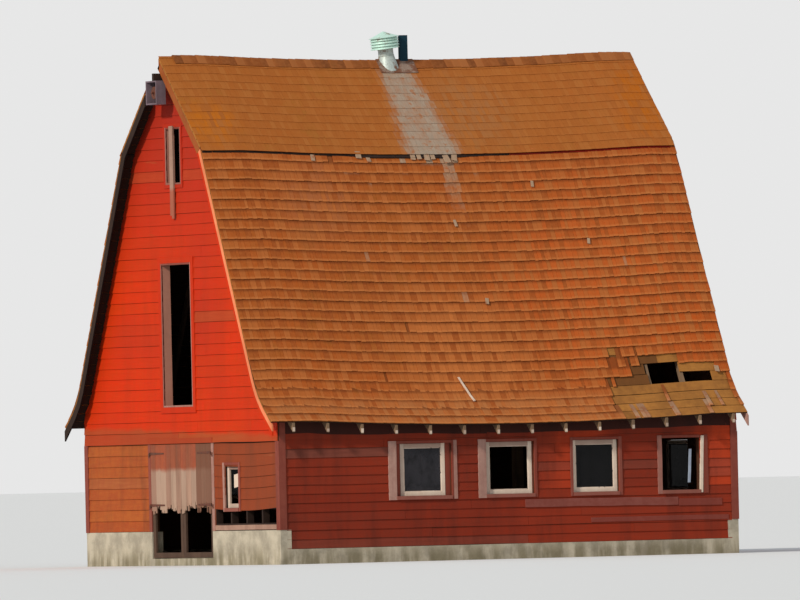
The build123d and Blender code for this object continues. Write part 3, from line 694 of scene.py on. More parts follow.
# a point of each wall, from the place across it, the distance out from its face and the height
walls = {
    "south": lambda u, out, z: (u, -halfWidth - out, z),
    "north": lambda u, out, z: (-u, halfWidth + out, z),
    "front": lambda u, out, z: (-halfLength - out, -u, z),
    "rear": lambda u, out, z: (halfLength + out, u, z),
}
siding = dict(
    gap=0.004, seam=0.002, thick=0.017, top=0.004, cell=0.45, wave=0.006, tilt=0.003, lengths=(1.8, 4.6),
    stub=0.7, bared=(0.3, 0.8), seed=21,
)


def freeRanges(z0, z1, holes, u):
    # what the openings leave of a course at one place
    ranges = [(z0, z1)]
    for u0, u1, low, high in holes:
        if u0 < u < u1:
            below = [(a, min(b, low)) for a, b in ranges if low > a]
            above = [(max(a, high), b) for a, b in ranges if high < b]
            ranges = [(a, b) for a, b in below + above if b - a > 0.004]
    return ranges


def layBoard(pile, place, span, course, look, shape, chance, bare):
    # one board, cut to the outline of its wall and round its openings
    (ua, ub), (z0, z1) = span, course
    stops = {ua, ub}
    for u0, u1, low, high in look["holes"]:
        if low < z1 and high > z0:
            stops.update(u for u in (u0, u1) if ua < u < ub)
    stops = sorted(stops)
    for a, b in zip(stops, stops[1:]):
        for low, high in freeRanges(z0, z1, look["holes"], (a + b) / 2):
            count = max(1, math.ceil((b - a) / siding["cell"]))
            rings, second = [], []
            for i in range(count + 1):
                u = a + (b - a) * i / count
                ring = []
                for z, face in ((low, 0), (low, 1), (high, 1), (high, 0)):
                    thick = siding["thick"] + (siding["top"] - siding["thick"]) * (z - z0) / (z1 - z0)
                    held = clamp(u, *look["limits"](z))
                    drop, tilt = shape(held, z)
                    ring.append(place(held, (thick + tilt) * face, z + drop))
                rings.append(ring)
                second.append(look["second"](u, (z0 + z1) / 2))
            addStrip(pile, rings, chance, second, bare)


def unchanged(u, z):
    return 0.0


def makeSiding(name, wall, seed, look, **more):
    # look: reach and height of the courses, limits, holes, and how the wall bows and changes colour
    look = {"step": 0.0, "bow": unchanged, "second": unchanged, "holes": [], **look, **more}
    draw = random.Random(siding["seed"] + seed)
    pile = newPile()
    low, high = look["reach"]
    count = max(1, round((high - low) / look["height"]))
    height = (high - low) / count
    place = lambda u, out, z: walls[wall](u, out + look["step"], z)
    for i in range(count):
        z0, z1 = low + i * height, low + (i + 1) * height - siding["seam"]
        u, right = look["limits"](z0 + 0.001)
        while u < right - 0.02:
            end = u + draw.uniform(*siding["lengths"])
            end = right if right - end < siding["stub"] else end
            tone, chance, sway = draw.random(), draw.random(), draw.random()
            turned = draw.uniform(0, 50)

            def shape(at, z, amount=siding["wave"] * (0.4 + sway), turned=turned, i=i):
                drop = amount * noise.noise(Vector((at * 0.9, i * 3.7, turned))) + look["bow"](at, z)
                return drop, siding["tilt"] * (1 + noise.noise(Vector((at * 1.6, i * 5.1, turned + 9))))

            bare = draw.uniform(*siding["bared"]) if chance < look["bare"] else 0.0
            layBoard(pile, place, (u, end - siding["gap"]), (z0, z1), look, shape, tone, bare)
            u = end
    pileObject(name, pile, look["finish"])


def gableLimits(name, count=160):
    # how far the siding of a gable reaches at a height, under the roof's slopes
    low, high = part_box(name)
    base, span = low[2] + 0.002, high[2] - low[2] - 0.01
    tree = treeOf(name)
    reaches = []
    for i in range(count + 1):
        start = Vector((low[0] + measuring["inset"], measuring["far"], base + span * i / count))
        hit = tree.ray_cast(start, Vector((0, -1, 0)))[0]
        reaches.append(hit.y if hit else 0.0)

    def limits(z):
        reach = tableAt(reaches, clamp((z - base) / span, 0.0, 0.9999)) - 0.002
        return -reach, reach
    return limits


# openings as u from, u to, sill and head, seen from outside
windows = dict(
    sill=1.08, head=1.95, first=2.66, pitch=1.61, width=0.87, southWidths=(1.03, 0.9, 0.86, 0.72),
    rearSide=1.75, rearSill=1.05, rearHead=1.92,
)


def opening(centre, width, sill, head):
    return (centre - width / 2, centre + width / 2, sill, head)


def boxOf(name):
    # a box of the frame, to a tenth of a millimetre
    return [[round(value, 4) for value in corner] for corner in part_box(name)]


def holeIn(name, trim):
    # what a frame on the front wall leaves open
    low, high = boxOf(name)
    return (trim - high[1], -low[1] - trim, low[2] + trim, high[2] - trim)


windowReach = (windows["sill"], windows["head"])
southCentres = [-halfLength + windows["first"] + windows["pitch"] * i for i in range(4)]
rearCentres = (-windows["rearSide"], windows["rearSide"])
southHoles = [opening(c, w, *windowReach) for c, w in zip(southCentres, windows["southWidths"])]
northHoles = [opening(c, windows["width"], *windowReach) for c in southCentres]
rearHoles = [opening(c, windows["width"], windows["rearSill"], windows["rearHead"]) for c in rearCentres]
trims = dict(window=0.06, hay=0.13, peak=0.09)
frontWindow = holeIn("front_window_frame", trims["window"])
hayHole = holeIn("hay_door_frame", trims["hay"])
peakHole = holeIn("upper_opening_frames", trims["peak"])
nearCorner, farCorner = boxOf("front_wall_left")
doorHalf, wallFoot, doorHead = nearCorner[1], nearCorner[2], farCorner[2]
sideFoot = boxOf("south_wall")[0][2]
gapHole = (1.25, 3.5375, wallFoot, 0.94)  # where the lowest boards are missing
cornerWidth, casingWidth = 0.1, 0.093


def southSecond(u, z):
    # brighter red between the middle windows and beyond the last, and in the low boards of the rear half
    if z > windows["sill"]:
        return 0.85 if u > 3.5 else 0.6 if 0.5 < u < 1.9 else 0.1 if u < -1.0 else 0.0
    return 0.15 * clamp((u - 0.25) / 0.05)


def gableSecond(u, z):
    # deeper red high under the peak, which is painted shade, and in a few worn bands
    return max(clamp((z - 4.6) / 3.0), 0.8 * noise.noise(Vector((u * 0.5, z * 0.9, 4.0))))


def sideBow(u, z):
    # the top boards of the long walls follow the sunken plate
    return -sagHere(u) * clamp((z - 1.97) / 0.4)


def frontRightBow(u, z):
    # the lowest boards beside the doorway hang down towards the door
    return -0.035 * math.sin(math.pi * clamp((u - 1.24) / 2.3)) * (1.0 if z < 1.7 else 0.5)


# kinds of wall; bare is the share of boards that have lost their paint
sideWall = dict(reach=(sideFoot + 0.005, 2.2), height=0.15, finish="sideRed", bare=0.05, bow=sideBow)
lowWall = dict(reach=(wallFoot + 0.005, doorHead - 0.005), height=0.182, finish="lowRed", bare=0.12)
gableWall = dict(
    reach=(doorHead + 0.002, 8.44), height=0.182, finish="gableRed", bare=0.03, step=stepOut,
    second=gableSecond,
)


def makeWalls():
    def between(left, right):
        return lambda z: (left, right)

    along, across, beside = halfLength - cornerWidth, halfWidth - cornerWidth, doorHalf + casingWidth
    long, whole, left, right = [
        between(a, b) for a, b in ((-along, along), (-across, across), (-across, -beside), (beside, across))
    ]
    front, rear = gableLimits("front_gable_wall"), gableLimits("rear_gable_wall")
    worn = dict(holes=[frontWindow, gapHole], bow=frontRightBow, second=lambda u, z: 1.0)
    makeSiding("siding_south", "south", 1, sideWall, limits=long, holes=southHoles, second=southSecond)
    makeSiding("siding_north", "north", 2, sideWall, limits=long, holes=northHoles)
    makeSiding("siding_rear", "rear", 3, lowWall, limits=whole, holes=rearHoles)
    makeSiding("siding_front_left", "front", 4, lowWall, limits=left)
    makeSiding("siding_front_right", "front", 5, lowWall, limits=right, **worn)
    makeSiding("siding_front_gable", "front", 6, gableWall, limits=front, holes=[hayHole, peakHole])
    makeSiding("siding_rear_gable", "rear", 7, gableWall, limits=rear, holes=[peakHole])


makeWalls()
print("walls sided")

# boards nailed flat on a wall, with a small chamfer
chamfer, plankCut = 0.003, 0.25


def addPlank(pile, place, across, up, out, chance, second=0.0, sway=0.0, lean=0.0, level=False):
    # an upright plank, or a level one
    (near, far), sides, (start, end) = out, across, up
    if level:
        sides, (start, end) = up, across
    length = end - start
    cuts = max(1, math.ceil(length / plankCut))
    edge = min(chamfer, (far - near) / 3)
    rings = []
    for i in range(cuts + 1):
        t = i / cuts
        bend = sway * noise.noise(Vector((chance * 31, t * length * 1.5, chance * 7))) + lean * (t - 0.5)
        a, b, run = sides[0] + bend, sides[1] + bend, start + length * t
        outline = ((a, near), (b, near), (b, far - edge), (b - edge, far), (a + edge, far), (a, far - edge))
        rings.append([place(run, o, w) if level else place(w, o, run) for w, o in outline])
    addStrip(pile, rings, chance, second)


def addRail(*values):
    addPlank(*values, level=True)


def addFrame(pile, place, outer, width, out, draw, rails, seconds=(0, 0, 0, 0, 0), sway=0.0):
    # two uprights at the sides, and rails between them at the heights given
    u0, u1, z0, z1 = outer
    left, right, *others = seconds
    for u, second in ((u0, left), (u1 - width, right)):
        addPlank(pile, place, (u, u + width), (z0, z1), out, draw.random(), second, sway)
    for z, second in zip(rails, others):
        addRail(pile, place, (u0 + width, u1 - width), (z, z + width), out, draw.random(), second)


# casings, from the opening's edge outwards: width from, width to, and how much of the wall's red is on them
windowTrim = dict(
    near=0.001, thick=0.03, head=0.045, sill=0.06, sillProud=0.012, headRed=1.0, sillRed=0.75, plain=0.1,
    sway=0.012, railSway=0.004, seed=31,
    south=[
        (((0, 0.15, 0.0),), ((0, 0.035, 1.0), (0.035, 0.105, 0.15))),
        (((0, 0.15, 0.0),), ((0, 0.05, 1.0),)),
        (((0, 0.05, 0.9),), ((0, 0.06, 0.9),)),
        (((0, 0.085, 0.5),), ((0.06, 0.15, 1.0),)),
    ],
    front=(((0, 0.06, 0.0),), ((0, 0.06, 0.9),)),
)


def addCasing(pile, wall, hole, strips, draw):
    u0, u1, sill, head = hole
    place, sway, railSway = walls[wall], windowTrim["sway"], windowTrim["railSway"]
    low, high = sill - windowTrim["sill"], head + windowTrim["head"]
    near, far = windowTrim["near"], windowTrim["thick"]
    for edge, turn, row in ((u0, -1, strips[0]), (u1, 1, strips[1])):
        for start, end, second in row:
            across = sorted((edge + turn * start, edge + turn * end))
            addPlank(pile, place, across, (low, high), (near, far), draw.random(), second, sway)
    rails = (((head, high), far, "headRed"), ((low, sill), far + windowTrim["sillProud"], "sillRed"))
    for up, far, red in rails:
        addRail(pile, place, (u0, u1), up, (near, far), draw.random(), windowTrim[red], railSway)


def makeCasings():
    draw = random.Random(windowTrim["seed"])
    for wall, holes in (("south", southHoles), ("north", northHoles), ("rear", rearHoles)):
        pile = newPile()
        for i, hole in enumerate(holes):
            if wall == "south":
                strips = windowTrim["south"][i]
            else:
                strips = [((0, windowTrim["plain"], draw.uniform(0.0, 0.6)),) for side in (0, 1)]
            addCasing(pile, wall, hole, strips, draw)
        pileObject("casings_" + wall, pile, "fadedTrim", [wall + "_window_frames"])
    pile = newPile()
    addCasing(pile, "front", frontWindow, windowTrim["front"], draw)
    pileObject("casing_front", pile, "fadedTrim", ["front_window_frame"])


# sashes; for the south side: window, width, how grey top, bottom, left and right are, and how much dust and
# painted reflection the glass shows; the grey is weathering and painted shade
sashes = dict(
    border=0.07, depth=0.03, thick=0.035, glassDepth=0.042, glass=0.004, fit=0.003, width=0.864, sway=0.002,
    putty=0.012, puttyBack=0.004, bead=(0.08, 0.35), shortest=0.03, lost=(0.0, 0.0, 0.02), greyed=(0.1, 0.6),
    seed=41,
    south=(
        (0, 0.83, (0.7, 0.0, 0.5, 0.0), 0.85), (1, 0.86, (0.8, 0.1, 0.4, 0.0), None),
        (2, 0.844, (0.7, 0.0, 0.1, 0.1), 0.1),
    ),
    front=(0.9, 0.5, 0.3, 0.6),
)


def addSash(pile, wall, centre, width, sill, height, greys, draw):
    border, face = sashes["border"], -sashes["depth"]
    u0, u1, high = centre - width / 2, centre + width / 2, sill + height - sashes["fit"]
    # grey on the top rails and on stiles beside the casings is weathering and painted shade
    top, bottom, left, right = greys
    rails, seconds = (high - border, sill), (left, right, top, bottom)
    out = (face - sashes["thick"], face)
    addFrame(pile, walls[wall], (u0, u1, sill, high), border, out, draw, rails, seconds, sashes["sway"])
    return (u0 + border, u1 - border, sill + border, high - border)


def addPutty(pile, wall, light, draw):
    # a bead in the corner between each sash member and the glass, with bits fallen out
    place, size = walls[wall], sashes["putty"]
    u0, u1, z0, z1 = light
    face, glass = -sashes["depth"] - sashes["puttyBack"], -sashes["glassDepth"]
    sides = (
        (u0, z0, u0, z1, size, 0), (u1, z0, u1, z1, -size, 0),
        (u0, z0, u1, z0, 0, size), (u0, z1, u1, z1, 0, -size),
    )
    for ua, za, ub, zb, du, dz in sides:
        length = math.hypot(ub - ua, zb - za)
        t = 0.0
        while t < length - sashes["shortest"]:
            run = min(draw.uniform(*sashes["bead"]), length - t)
            rings = []
            for stop in (t, t + run - draw.choice(sashes["lost"])):
                u, z = ua + (ub - ua) * stop / length, za + (zb - za) * stop / length
                rings.append([place(u, glass, z), place(u + du, glass, z + dz), place(u, face, z)])
            addStrip(pile, rings, draw.random(), draw.uniform(*sashes["greyed"]))
            t += run


def addPane(pile, wall, light, dusty, draw):
    u0, u1, z0, z1 = light
    tips = [draw.uniform(-0.0012, 0.0012) for corner in range(4)]
    corners = list(zip((u0, u1, u1, u0), (z0, z0, z1, z1), tips))
    outs = (-sashes["glassDepth"] - sashes["glass"], -sashes["glassDepth"])
    addStrip(pile, [[walls[wall](u, out + tip, z) for u, z, tip in corners] for out in outs], dusty)


def makeSashes():
    draw = random.Random(sashes["seed"])
    wood, putty, glass = newPile(), newPile(), newPile()
    height = windows["head"] - windows["sill"]
    jobs = [("south", southCentres[i], width, windows["sill"], *rest) for i, width, *rest in sashes["south"]]
    plain = [("north", u, windows["sill"]) for u in southCentres]
    for wall, u, sill in plain + [("rear", u, windows["rearSill"]) for u in rearCentres]:
        greys = [draw.uniform(0, 0.8) for side in range(4)]
        jobs.append((wall, u, sashes["width"], sill, greys, draw.random()))
    for wall, centre, width, sill, greys, dusty in jobs:
        light = addSash(wood, wall, centre, width, sill, height, greys, draw)
        addPutty(putty, wall, light, draw)
        if dusty is not None:
            addPane(glass, wall, light, dusty, draw)
    u0, u1, sill, head = frontWindow
    width = u1 - u0 - 2 * sashes["fit"]
    addSash(wood, "front", (u0 + u1) / 2, width, sill, head - sill, sashes["front"], draw)
    pileObject("sashes", wood, "creamSash", ["window_sashes"])
    pileObject("putty", putty, "creamSash")
    pileObject("panes", glass, "oldGlass", ["window_glass"])


stops = dict(out=(-0.06, -0.034), clear=0.004, narrowest=0.012, seed=43)
bits = dict(  # across and up; the first two from the edges of their openings
    strip=((0.002, 0.058), (-0.05, 0.03)), stripOut=(0.001, 0.034),
    bar=((0.17, -0.02), (0.36, 0.58)), barOut=(-0.09, -0.07),
    splinter=((3.41, 3.455), (1.2, 1.76)), splinterOut=(-0.075, -0.055),
)


def makeStops():
    # narrow stop boards in the jambs beside the south sashes
    draw = random.Random(stops["seed"])
    pile, place, out = newPile(), walls["south"], stops["out"]
    for (u0, u1, sill, head), (i, width, *rest) in zip(southHoles, sashes["south"]):
        slack = (u1 - u0 - width) / 2 - stops["clear"]
        for u in (u0, u1 - slack):
            if slack > stops["narrowest"]:
                addPlank(pile, place, (u, u + slack), (sill, head), out, draw.random(), 1.0)
    pileObject("window_stops", pile, "fadedTrim")


def makeBits():
    # a bleached strip beside the empty opening, a bit in the front window, and a splinter of the lost sash
    pile, south = newPile(), walls["south"]
    u0, u1, sill, head = southHoles[3]
    (a, b), (low, high) = bits["strip"]
    across, up = (u1 + a, u1 + b), (sill + low, head + high)
    addPlank(pile, south, across, up, bits["stripOut"], 0.3, 0.0, 0.01, 0.03)
    u0, u1, sill, head = frontWindow
    (a, b), (low, high) = bits["bar"]
    across, up = (u0 + a, u1 + b), (sill + low, sill + high)
    addRail(pile, walls["front"], across, up, bits["barOut"], 0.7, 0.0, 0.02, 0.05)
    pileObject("bleached_bits", pile, "creamSash")
    pile = newPile()
    addPlank(pile, south, *bits["splinter"], bits["splinterOut"], 0.4, 0.0, 0.03, 0.05)
    pileObject("sash_splinter", pile, "splinterPaint")


makeCasings()
makeSashes()
makeStops()
makeBits()
print("windows made")

# frames of the openings in the gables; pale is how much paint is left on the lip: left, right, bottom, top
gableFrame = dict(
    casing=0.03, lining=0.02, lip=0.03, lipBack=0.004, inner=-0.12, sway=0.004, worn=0.3, seed=51,
)
gableFrames = (
    dict(
        name="hay_door", wall="front", hole=hayHole, trim=trims["hay"], replaced=["hay_door_frame"],
        pale=(0.7, 0.2, 0.1, 0.9),
    ),
    dict(
        name="peak_front", wall="front", hole=peakHole, trim=trims["peak"],
        replaced=["upper_opening_frames"], pale=(0.5, 0.5, 0.6, 1.0),
    ),
    dict(
        name="peak_rear", wall="rear", hole=peakHole, trim=trims["peak"], replaced=[],
        pale=(0.4, 0.4, 0.4, 0.4),
    ),
)


def makeGableFrame(name, wall, hole, trim, replaced, pale):
    draw = random.Random(gableFrame["seed"])
    place, lip, sway = walls[wall], gableFrame["lip"], gableFrame["sway"]
    u0, u1, z0, z1 = hole
    red, light, bright = newPile(), newPile(), newPile()
    near, far = stepOut + 0.001, stepOut + gableFrame["casing"]
    shade = gableSecond((u0 + u1) / 2, (z0 + z1) / 2)
    for across in ((u0 - trim, u0 - lip), (u1 + lip, u1 + trim)):
        addPlank(red, place, across, (z0 - trim, z1 + trim), (near, far), draw.random(), shade, sway)
    for up in ((z0 - trim, z0 - lip), (z1 + lip, z1 + trim)):
        addRail(red, place, (u0 - lip, u1 + lip), up, (near, far), draw.random(), shade, sway)
    # a pale lip round the opening, and the lining through the wall; the lining at the left edge gets a
    # brighter paint, which is painted light
    outer = (u0 - lip, u1 + lip, z0 - lip, z1 + lip)
    addFrame(light, place, outer, lip, (near, far - gableFrame["lipBack"]), draw, (z0 - lip, z1), pale)
    board, worn, out = gableFrame["lining"], gableFrame["worn"], (gableFrame["inner"], stepOut)
    for pile, u in ((bright, u0 - board), (light, u1)):
        addPlank(pile, place, (u, u + board), (z0 - board, z1 + board), out, draw.random(), worn)
    for z in (z0 - board, z1):
        addRail(light, place, (u0, u1), (z, z + board), out, draw.random(), worn)
    pileObject(name + "_reveal", bright, "hayReveal")
    pileObject(name + "_casing", red, "gableRed", replaced)
    pileObject(name + "_lining", light, "fadedTrim")


loosePlank = dict(across=(-0.068, 0.066), split=(-0.012, -0.008), whole=0.16, short=0.05, tone=0.35)


def makeLoosePlank():
    # the grey plank that hangs down over the peak opening, split at its foot
    low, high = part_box("loose_board")
    out = (-halfLength - high[0] + 0.001, -halfLength - low[0])
    (left, right), (a, b) = loosePlank["across"], loosePlank["split"]
    foot, whole, tone = low[2], low[2] + loosePlank["whole"], loosePlank["tone"]
    pile = newPile()
    addPlank(pile, walls["front"], (left, right), (whole, high[2]), out, tone, 0.0, 0.006)
    addPlank(pile, walls["front"], (left, a), (foot + loosePlank["short"], whole), out, tone)
    addPlank(pile, walls["front"], (b, right), (foot + 0.001, whole), out, tone + 0.05)
    pileObject("loose_plank", pile, "hangingPlank", ["loose_board"])


for look in gableFrames:
    makeGableFrame(**look)
makeLoosePlank()

# the doorway: casing, and two plank leaves on their frames
doorCasing = dict(width=0.09, thick=0.025, seed=61)
leaves = dict(
    inner=0.004, outer=1.144, foot=0.13, top=2.03, plank=0.025, frame=0.038, member=0.09, rail=0.96,
    joint=0.004, ends=(0.861, 0.905, 0.949, 0.883, 0.927, 0.861), grey=0.85, greyFrom=3,
    split=0.13, splitWidths=(0.02, 0.055), narrowest=0.012, splitOut=(0.003, 0.023), splitGap=0.001,
    rot=0.11, back=0.0005, seed=62,
)
strapBolts = dict(heights=(1.015, 1.88), backs=(0.06, 0.2, 0.34, 0.47), out=0.031, size=0.009, sides=10)


def makeDoorCasing():
    draw = random.Random(doorCasing["seed"])
    width, thick = doorCasing["width"], doorCasing["thick"]
    sides, head = newPile(), newPile()
    for side, second in ((-1, 0.9), (1, 0.1)):
        across, up = sorted((side * doorHalf, side * (doorHalf + width))), (wallFoot + 0.002, doorHead)
        addPlank(sides, walls["front"], across, up, (0, thick), draw.random(), second)
    reach, out = (-doorHalf - width, doorHalf + width), (stepOut, stepOut + thick)
    addRail(head, walls["front"], reach, (doorHead, doorHead + width), out, draw.random())
    pileObject("door_casing_sides", sides, "fadedTrim", ["main_door_casing"])
    pileObject("door_casing_head", head, "gableRed")


def circle(count):
    return [(math.cos(2 * math.pi * k / count), math.sin(2 * math.pi * k / count)) for k in range(count)]


def makeLeaf(label, side):
    draw = random.Random(leaves["seed"] + side)
    place = lambda u, out, z: walls["front"](side * u, out, z)
    planks, frame, bolts = newPile(), newPile(), newPile()
    inner, outer, foot, top = leaves["inner"], leaves["outer"], leaves["foot"], leaves["top"]
    width, plank = (outer - inner) / len(leaves["ends"]), leaves["plank"]
    for i, end in enumerate(leaves["ends"]):
        a, b = inner + i * width, inner + (i + 1) * width - leaves["joint"]
        tone = draw.random()
        greyed = side > 0 and i >= leaves["greyFrom"]
        second = leaves["grey"] if greyed else draw.choice((0.0, 0.0, 0.25))
        start = end + leaves["split"]
        addPlank(planks, place, (a, b), (start, top), (leaves["back"], plank), tone, second)
        # the rotten end is split along the grain
        while a < b - leaves["narrowest"]:
            w = min(draw.uniform(*leaves["splitWidths"]), b - a)
            across, up = (a, a + w - leaves["splitGap"]), (end + draw.random() ** 2 * leaves["rot"], start)
            addPlank(planks, place, across, up, leaves["splitOut"], tone, second)
            a += w
    member, out = leaves["member"], (-leaves["frame"], 0.0)
    rails = (foot, leaves["rail"], top - member)
    addFrame(frame, place, (inner, outer, foot, top), member, out, draw, rails)
    for z in strapBolts["heights"]:
        for back in strapBolts["backs"]:
            addBolt(bolts, place, doorHalf - back, z)
    leaf, body = "leaf_" + label, label + "_leaf"
    pileObject(leaf + "_planks", planks, "doorPlanks", ["door_" + label], body)
    pileObject(leaf + "_frame", frame, "doorFrame", (), body)
    pileObject("bolts_" + label, bolts, "rustyIron", (), body)


def addBolt(pile, place, u, z):
    # a round head with a low dome
    rings, size = [], strapBolts["size"]
    for radius, height in ((1.0, 0.0), (1.0, 0.4), (0.72, 0.8), (0.3, 1.0)):
        r, out = size * radius, strapBolts["out"] + size * 0.5 * height
        rings.append([place(u + r * c, out, z + r * s) for c, s in circle(strapBolts["sides"])])
    addStrip(pile, rings, 0.5)


makeDoorCasing()
makeLeaf("left", -1)
makeLeaf("right", 1)
print("doors made")

# the front rake of the south slope: bright edge over a red board below the knee, weathered above it
rake = dict(width=0.025, depth=0.13, edge=0.075, joint=2.6, gap=0.003, back=0.002, cut=0.12, seed=71)


def rakePoint(side, x, s, rise):
    # over the roof, but mitred at the knee and plumb at both ends
    y, z, slope = onOutline(s)
    if abs(s - kneeRun) < 0.004:
        before, after = onOutline(kneeRun - 0.05)[2], onOutline(kneeRun + 0.05)[2]
        total = (before[0] + after[0], before[1] + after[1])
        slope = [value / math.hypot(*total) for value in total]
        rise /= before[0] * slope[0] + before[1] * slope[1]
    elif s < 0.001 or s > roofRun - 0.001:
        return (x, side * y, z + rise / slope[0] - sagHere(x))
    return overSlope(side, x, y, z, slope, rise)


def addRakeBoard(pile, x, s0, s1, low, high, chance):
    count = max(1, math.ceil((s1 - s0) / rake["cut"]))
    corners = ((x, low), (x + rake["width"], low), (x + rake["width"], high), (x, high))
    runs = [s0 + (s1 - s0) * i / count for i in range(count + 1)]
    addStrip(pile, [[rakePoint(-1, cx, s, rise) for cx, rise in corners] for s in runs], chance)


def makeFrontRake():
    draw = random.Random(rake["seed"])
    upper, edge, board = newPile(), newPile(), newPile()
    bottom, line, top = -deckDepth - rake["depth"], -deckDepth - rake["edge"], -deckDepth
    x = frontEnd + 0.0005
    addRakeBoard(upper, x, 0.0, kneeRun, bottom, top, draw.random())
    joint = kneeRun + rake["joint"]
    for s0, s1 in ((kneeRun, joint), (joint + rake["gap"], roofRun)):
        addRakeBoard(edge, x, s0, s1, line, top, draw.random())
        addRakeBoard(board, x + rake["back"], s0, s1, bottom, line - 0.001, draw.random())
    pileObject("rake_bright_edge", edge, "rakeTrim", ["rake_front_south"])
    pileObject("rake_red_board", board, "gableRed")
    pileObject("rake_upper_board", upper, "rakeBrown")


kneeBoards = dict(
    height=0.05, lip=0.06, depth=0.065, north=0.45, least=0.55, widest=-0.6, lengths=(0.5, 1.6),
    shortest=0.3, inset=0.01, clear=0.004, sunk=0.02, start=0.002, foot=0.008, uneven=0.2, seed=81,
)


def kneeGap(side, x):
    # how much of the painted shade under the upper shingles shows
    if side > 0:
        return kneeBoards["north"]
    return max(clamp(3.0 - 2.2 * abs(x - kneeBoards["widest"])), kneeBoards["least"])


def makeKneeBoards():
    # a dark board under the lip of the upper slope, its colour painted shade under the lip
    look = kneeBoards
    draw = random.Random(look["seed"])
    pile = newPile()
    for side in (-1, 1):
        x, last = frontEnd + look["inset"], rearEnd - look["inset"]
        while x < rearEnd - look["shortest"]:
            run = min(draw.uniform(*look["lengths"]), last - x)
            rings = []
            for i in range(4):
                cx = x + (run - look["inset"]) * i / 3
                gap = kneeGap(side, cx)
                uneven = 1 - look["uneven"] + look["uneven"] * noise.noise(Vector((cx * 3, side, 1.0)))
                low, high = -deckDepth + look["clear"], -look["sunk"] + look["height"] * gap * uneven
                start, end = kneeRun + look["start"], kneeRun + look["lip"] + look["depth"] * gap
                corners = ((start, low), (end, low), (end, high), (start, -look["foot"]))
                rings.append([roofPoint(side, cx, s, rise) for s, rise in corners])
            addStrip(pile, rings, draw.random(), clamp(x - 0.4) if side < 0 else 0.0)
            x += run
    pileObject("knee_boards", pile, "kneeBoard")


# loose shingles on the south slope: place along the ridge, distance from the ridge, width, turn, lift
looseBits = dict(
    length=0.17, thick=0.01, seed=83,
    places=[
        (-1.64, 2.34, 0.1, 4, 0.02), (-1.45, 2.4, 0.07, -8, 0.012), (-0.62, 2.36, 0.09, 3, 0.016),
        (-0.5, 2.35, 0.08, -4, 0.02), (-0.36, 2.37, 0.1, 6, 0.02), (-0.24, 2.35, 0.08, -3, 0.014),
        (0.02, 2.42, 0.11, -10, 0.03), (0.14, 2.38, 0.1, 14, 0.024), (-2.5, 2.4, 0.07, 5, 0.01),
        (0.13, 5.05, 0.06, 9, 0.012), (2.3, 4.0, 0.05, 12, 0.008), (-0.1, 3.6, 0.05, -7, 0.008),
        (1.5, 2.9, 0.05, 8, 0.008), (4.12, 6.5, 0.08, 7, 0.03),
    ],
)
lath = dict(top=(-0.74, 6.4), foot=(-0.575, 6.88), half=0.015, thick=0.02, lift=0.012, bow=0.01)


def section(half, thick):
    return ((-half, 0), (half, 0), (half, thick), (-half, thick))


def makeLooseShingles():
    draw = random.Random(looseBits["seed"])
    pile = newPile()
    for x, s, width, turn, lift in looseBits["places"]:
        c, n = math.cos(math.radians(turn)), math.sin(math.radians(turn))
        length = looseBits["length"] * draw.uniform(0.6, 1.0)
        rings = []
        for down, rise in ((0.0, lift), (-length, 0.002)):
            corners = section(width / 2, looseBits["thick"])
            rings.append([
                roofPoint(-1, x + a * c - down * n, s + a * n + down * c, rise + high) for a, high in corners
            ])
        addStrip(pile, rings, draw.random(), 0.2, 1.0)
    pileObject("loose_shingles", pile, "lowerShingles")


def makeLath():
    # a lath that lies on the lower slope
    pile, rings = newPile(), []
    (xa, sa), (xb, sb) = lath["top"], lath["foot"]
    corners = section(lath["half"], lath["thick"])
    for t in (0.0, 0.25, 0.5, 0.75, 1.0):
        x, s = xa + (xb - xa) * t, sa + (sb - sa) * t
        lift = lath["lift"] + lath["bow"] * math.sin(math.pi * t)
        rings.append([roofPoint(-1, x + a, s, lift + high) for a, high in corners])
    addStrip(pile, rings, 0.8)
    pileObject("lath_on_roof", pile, "creamSash")


makeFrontRake()
makeKneeBoards()
makeLooseShingles()
makeLath()

# cap shingles bent over the ridge
ridge = dict(
    leg=0.138, exposure=0.15, length=0.28, thick=0.007, broken=0.05, brokenLeg=0.55, seed=91,
    start=0.003, end=0.002, shortest=0.03, uneven=(-0.012, 0.0), shift=0.002, spacing=(0.85, 1.1),
)


def overRidge(side, x, run, rise, shift=0.0):
    # a point over the upper slope at a level distance from the ridge
    slope = onOutline(0.05)[2]
    y, z = onOutline(run / slope[0])[:2]
    if run == 0:
        return (x, 0.0, z + rise / slope[0] - sagHere(x))
    return (x + shift, side * (y - slope[1] * rise), z + slope[0] * rise - sagHere(x))


def makeRidgeCap():
    draw = random.Random(ridge["seed"])
    pile = newPile()
    thick = ridge["thick"]
    x = -halfLength - stepOut + ridge["start"]
    while x < rearEnd - ridge["shortest"]:
        end = min(x + ridge["length"], rearEnd - ridge["end"])
        tone, sway = draw.random(), draw.uniform(*ridge["uneven"])
        shift, drop = draw.uniform(-ridge["shift"], ridge["shift"]), thick * draw.uniform(0.0, 0.5)
        torn = draw.random() < ridge["broken"]
        for side in (-1, 1):
            leg = ridge["leg"] * (ridge["brokenLeg"] if torn and side < 0 else 1.0) + sway
            corners = ((0.0, 0.0), (leg, 0.0), (leg, thick), (0.0, thick))
            rings = []
            for cx, base in ((x, thick - drop), (end, 0.001 - drop)):
                rings.append([overRidge(side, cx, run, base + high, shift) for run, high in corners])
            addStrip(pile, rings, tone, [0.0, 0.6])
        x += ridge["exposure"] * draw.uniform(*ridge["spacing"])
    pileObject("ridge_shingles", pile, "capShingles", ["ridge_cap"])


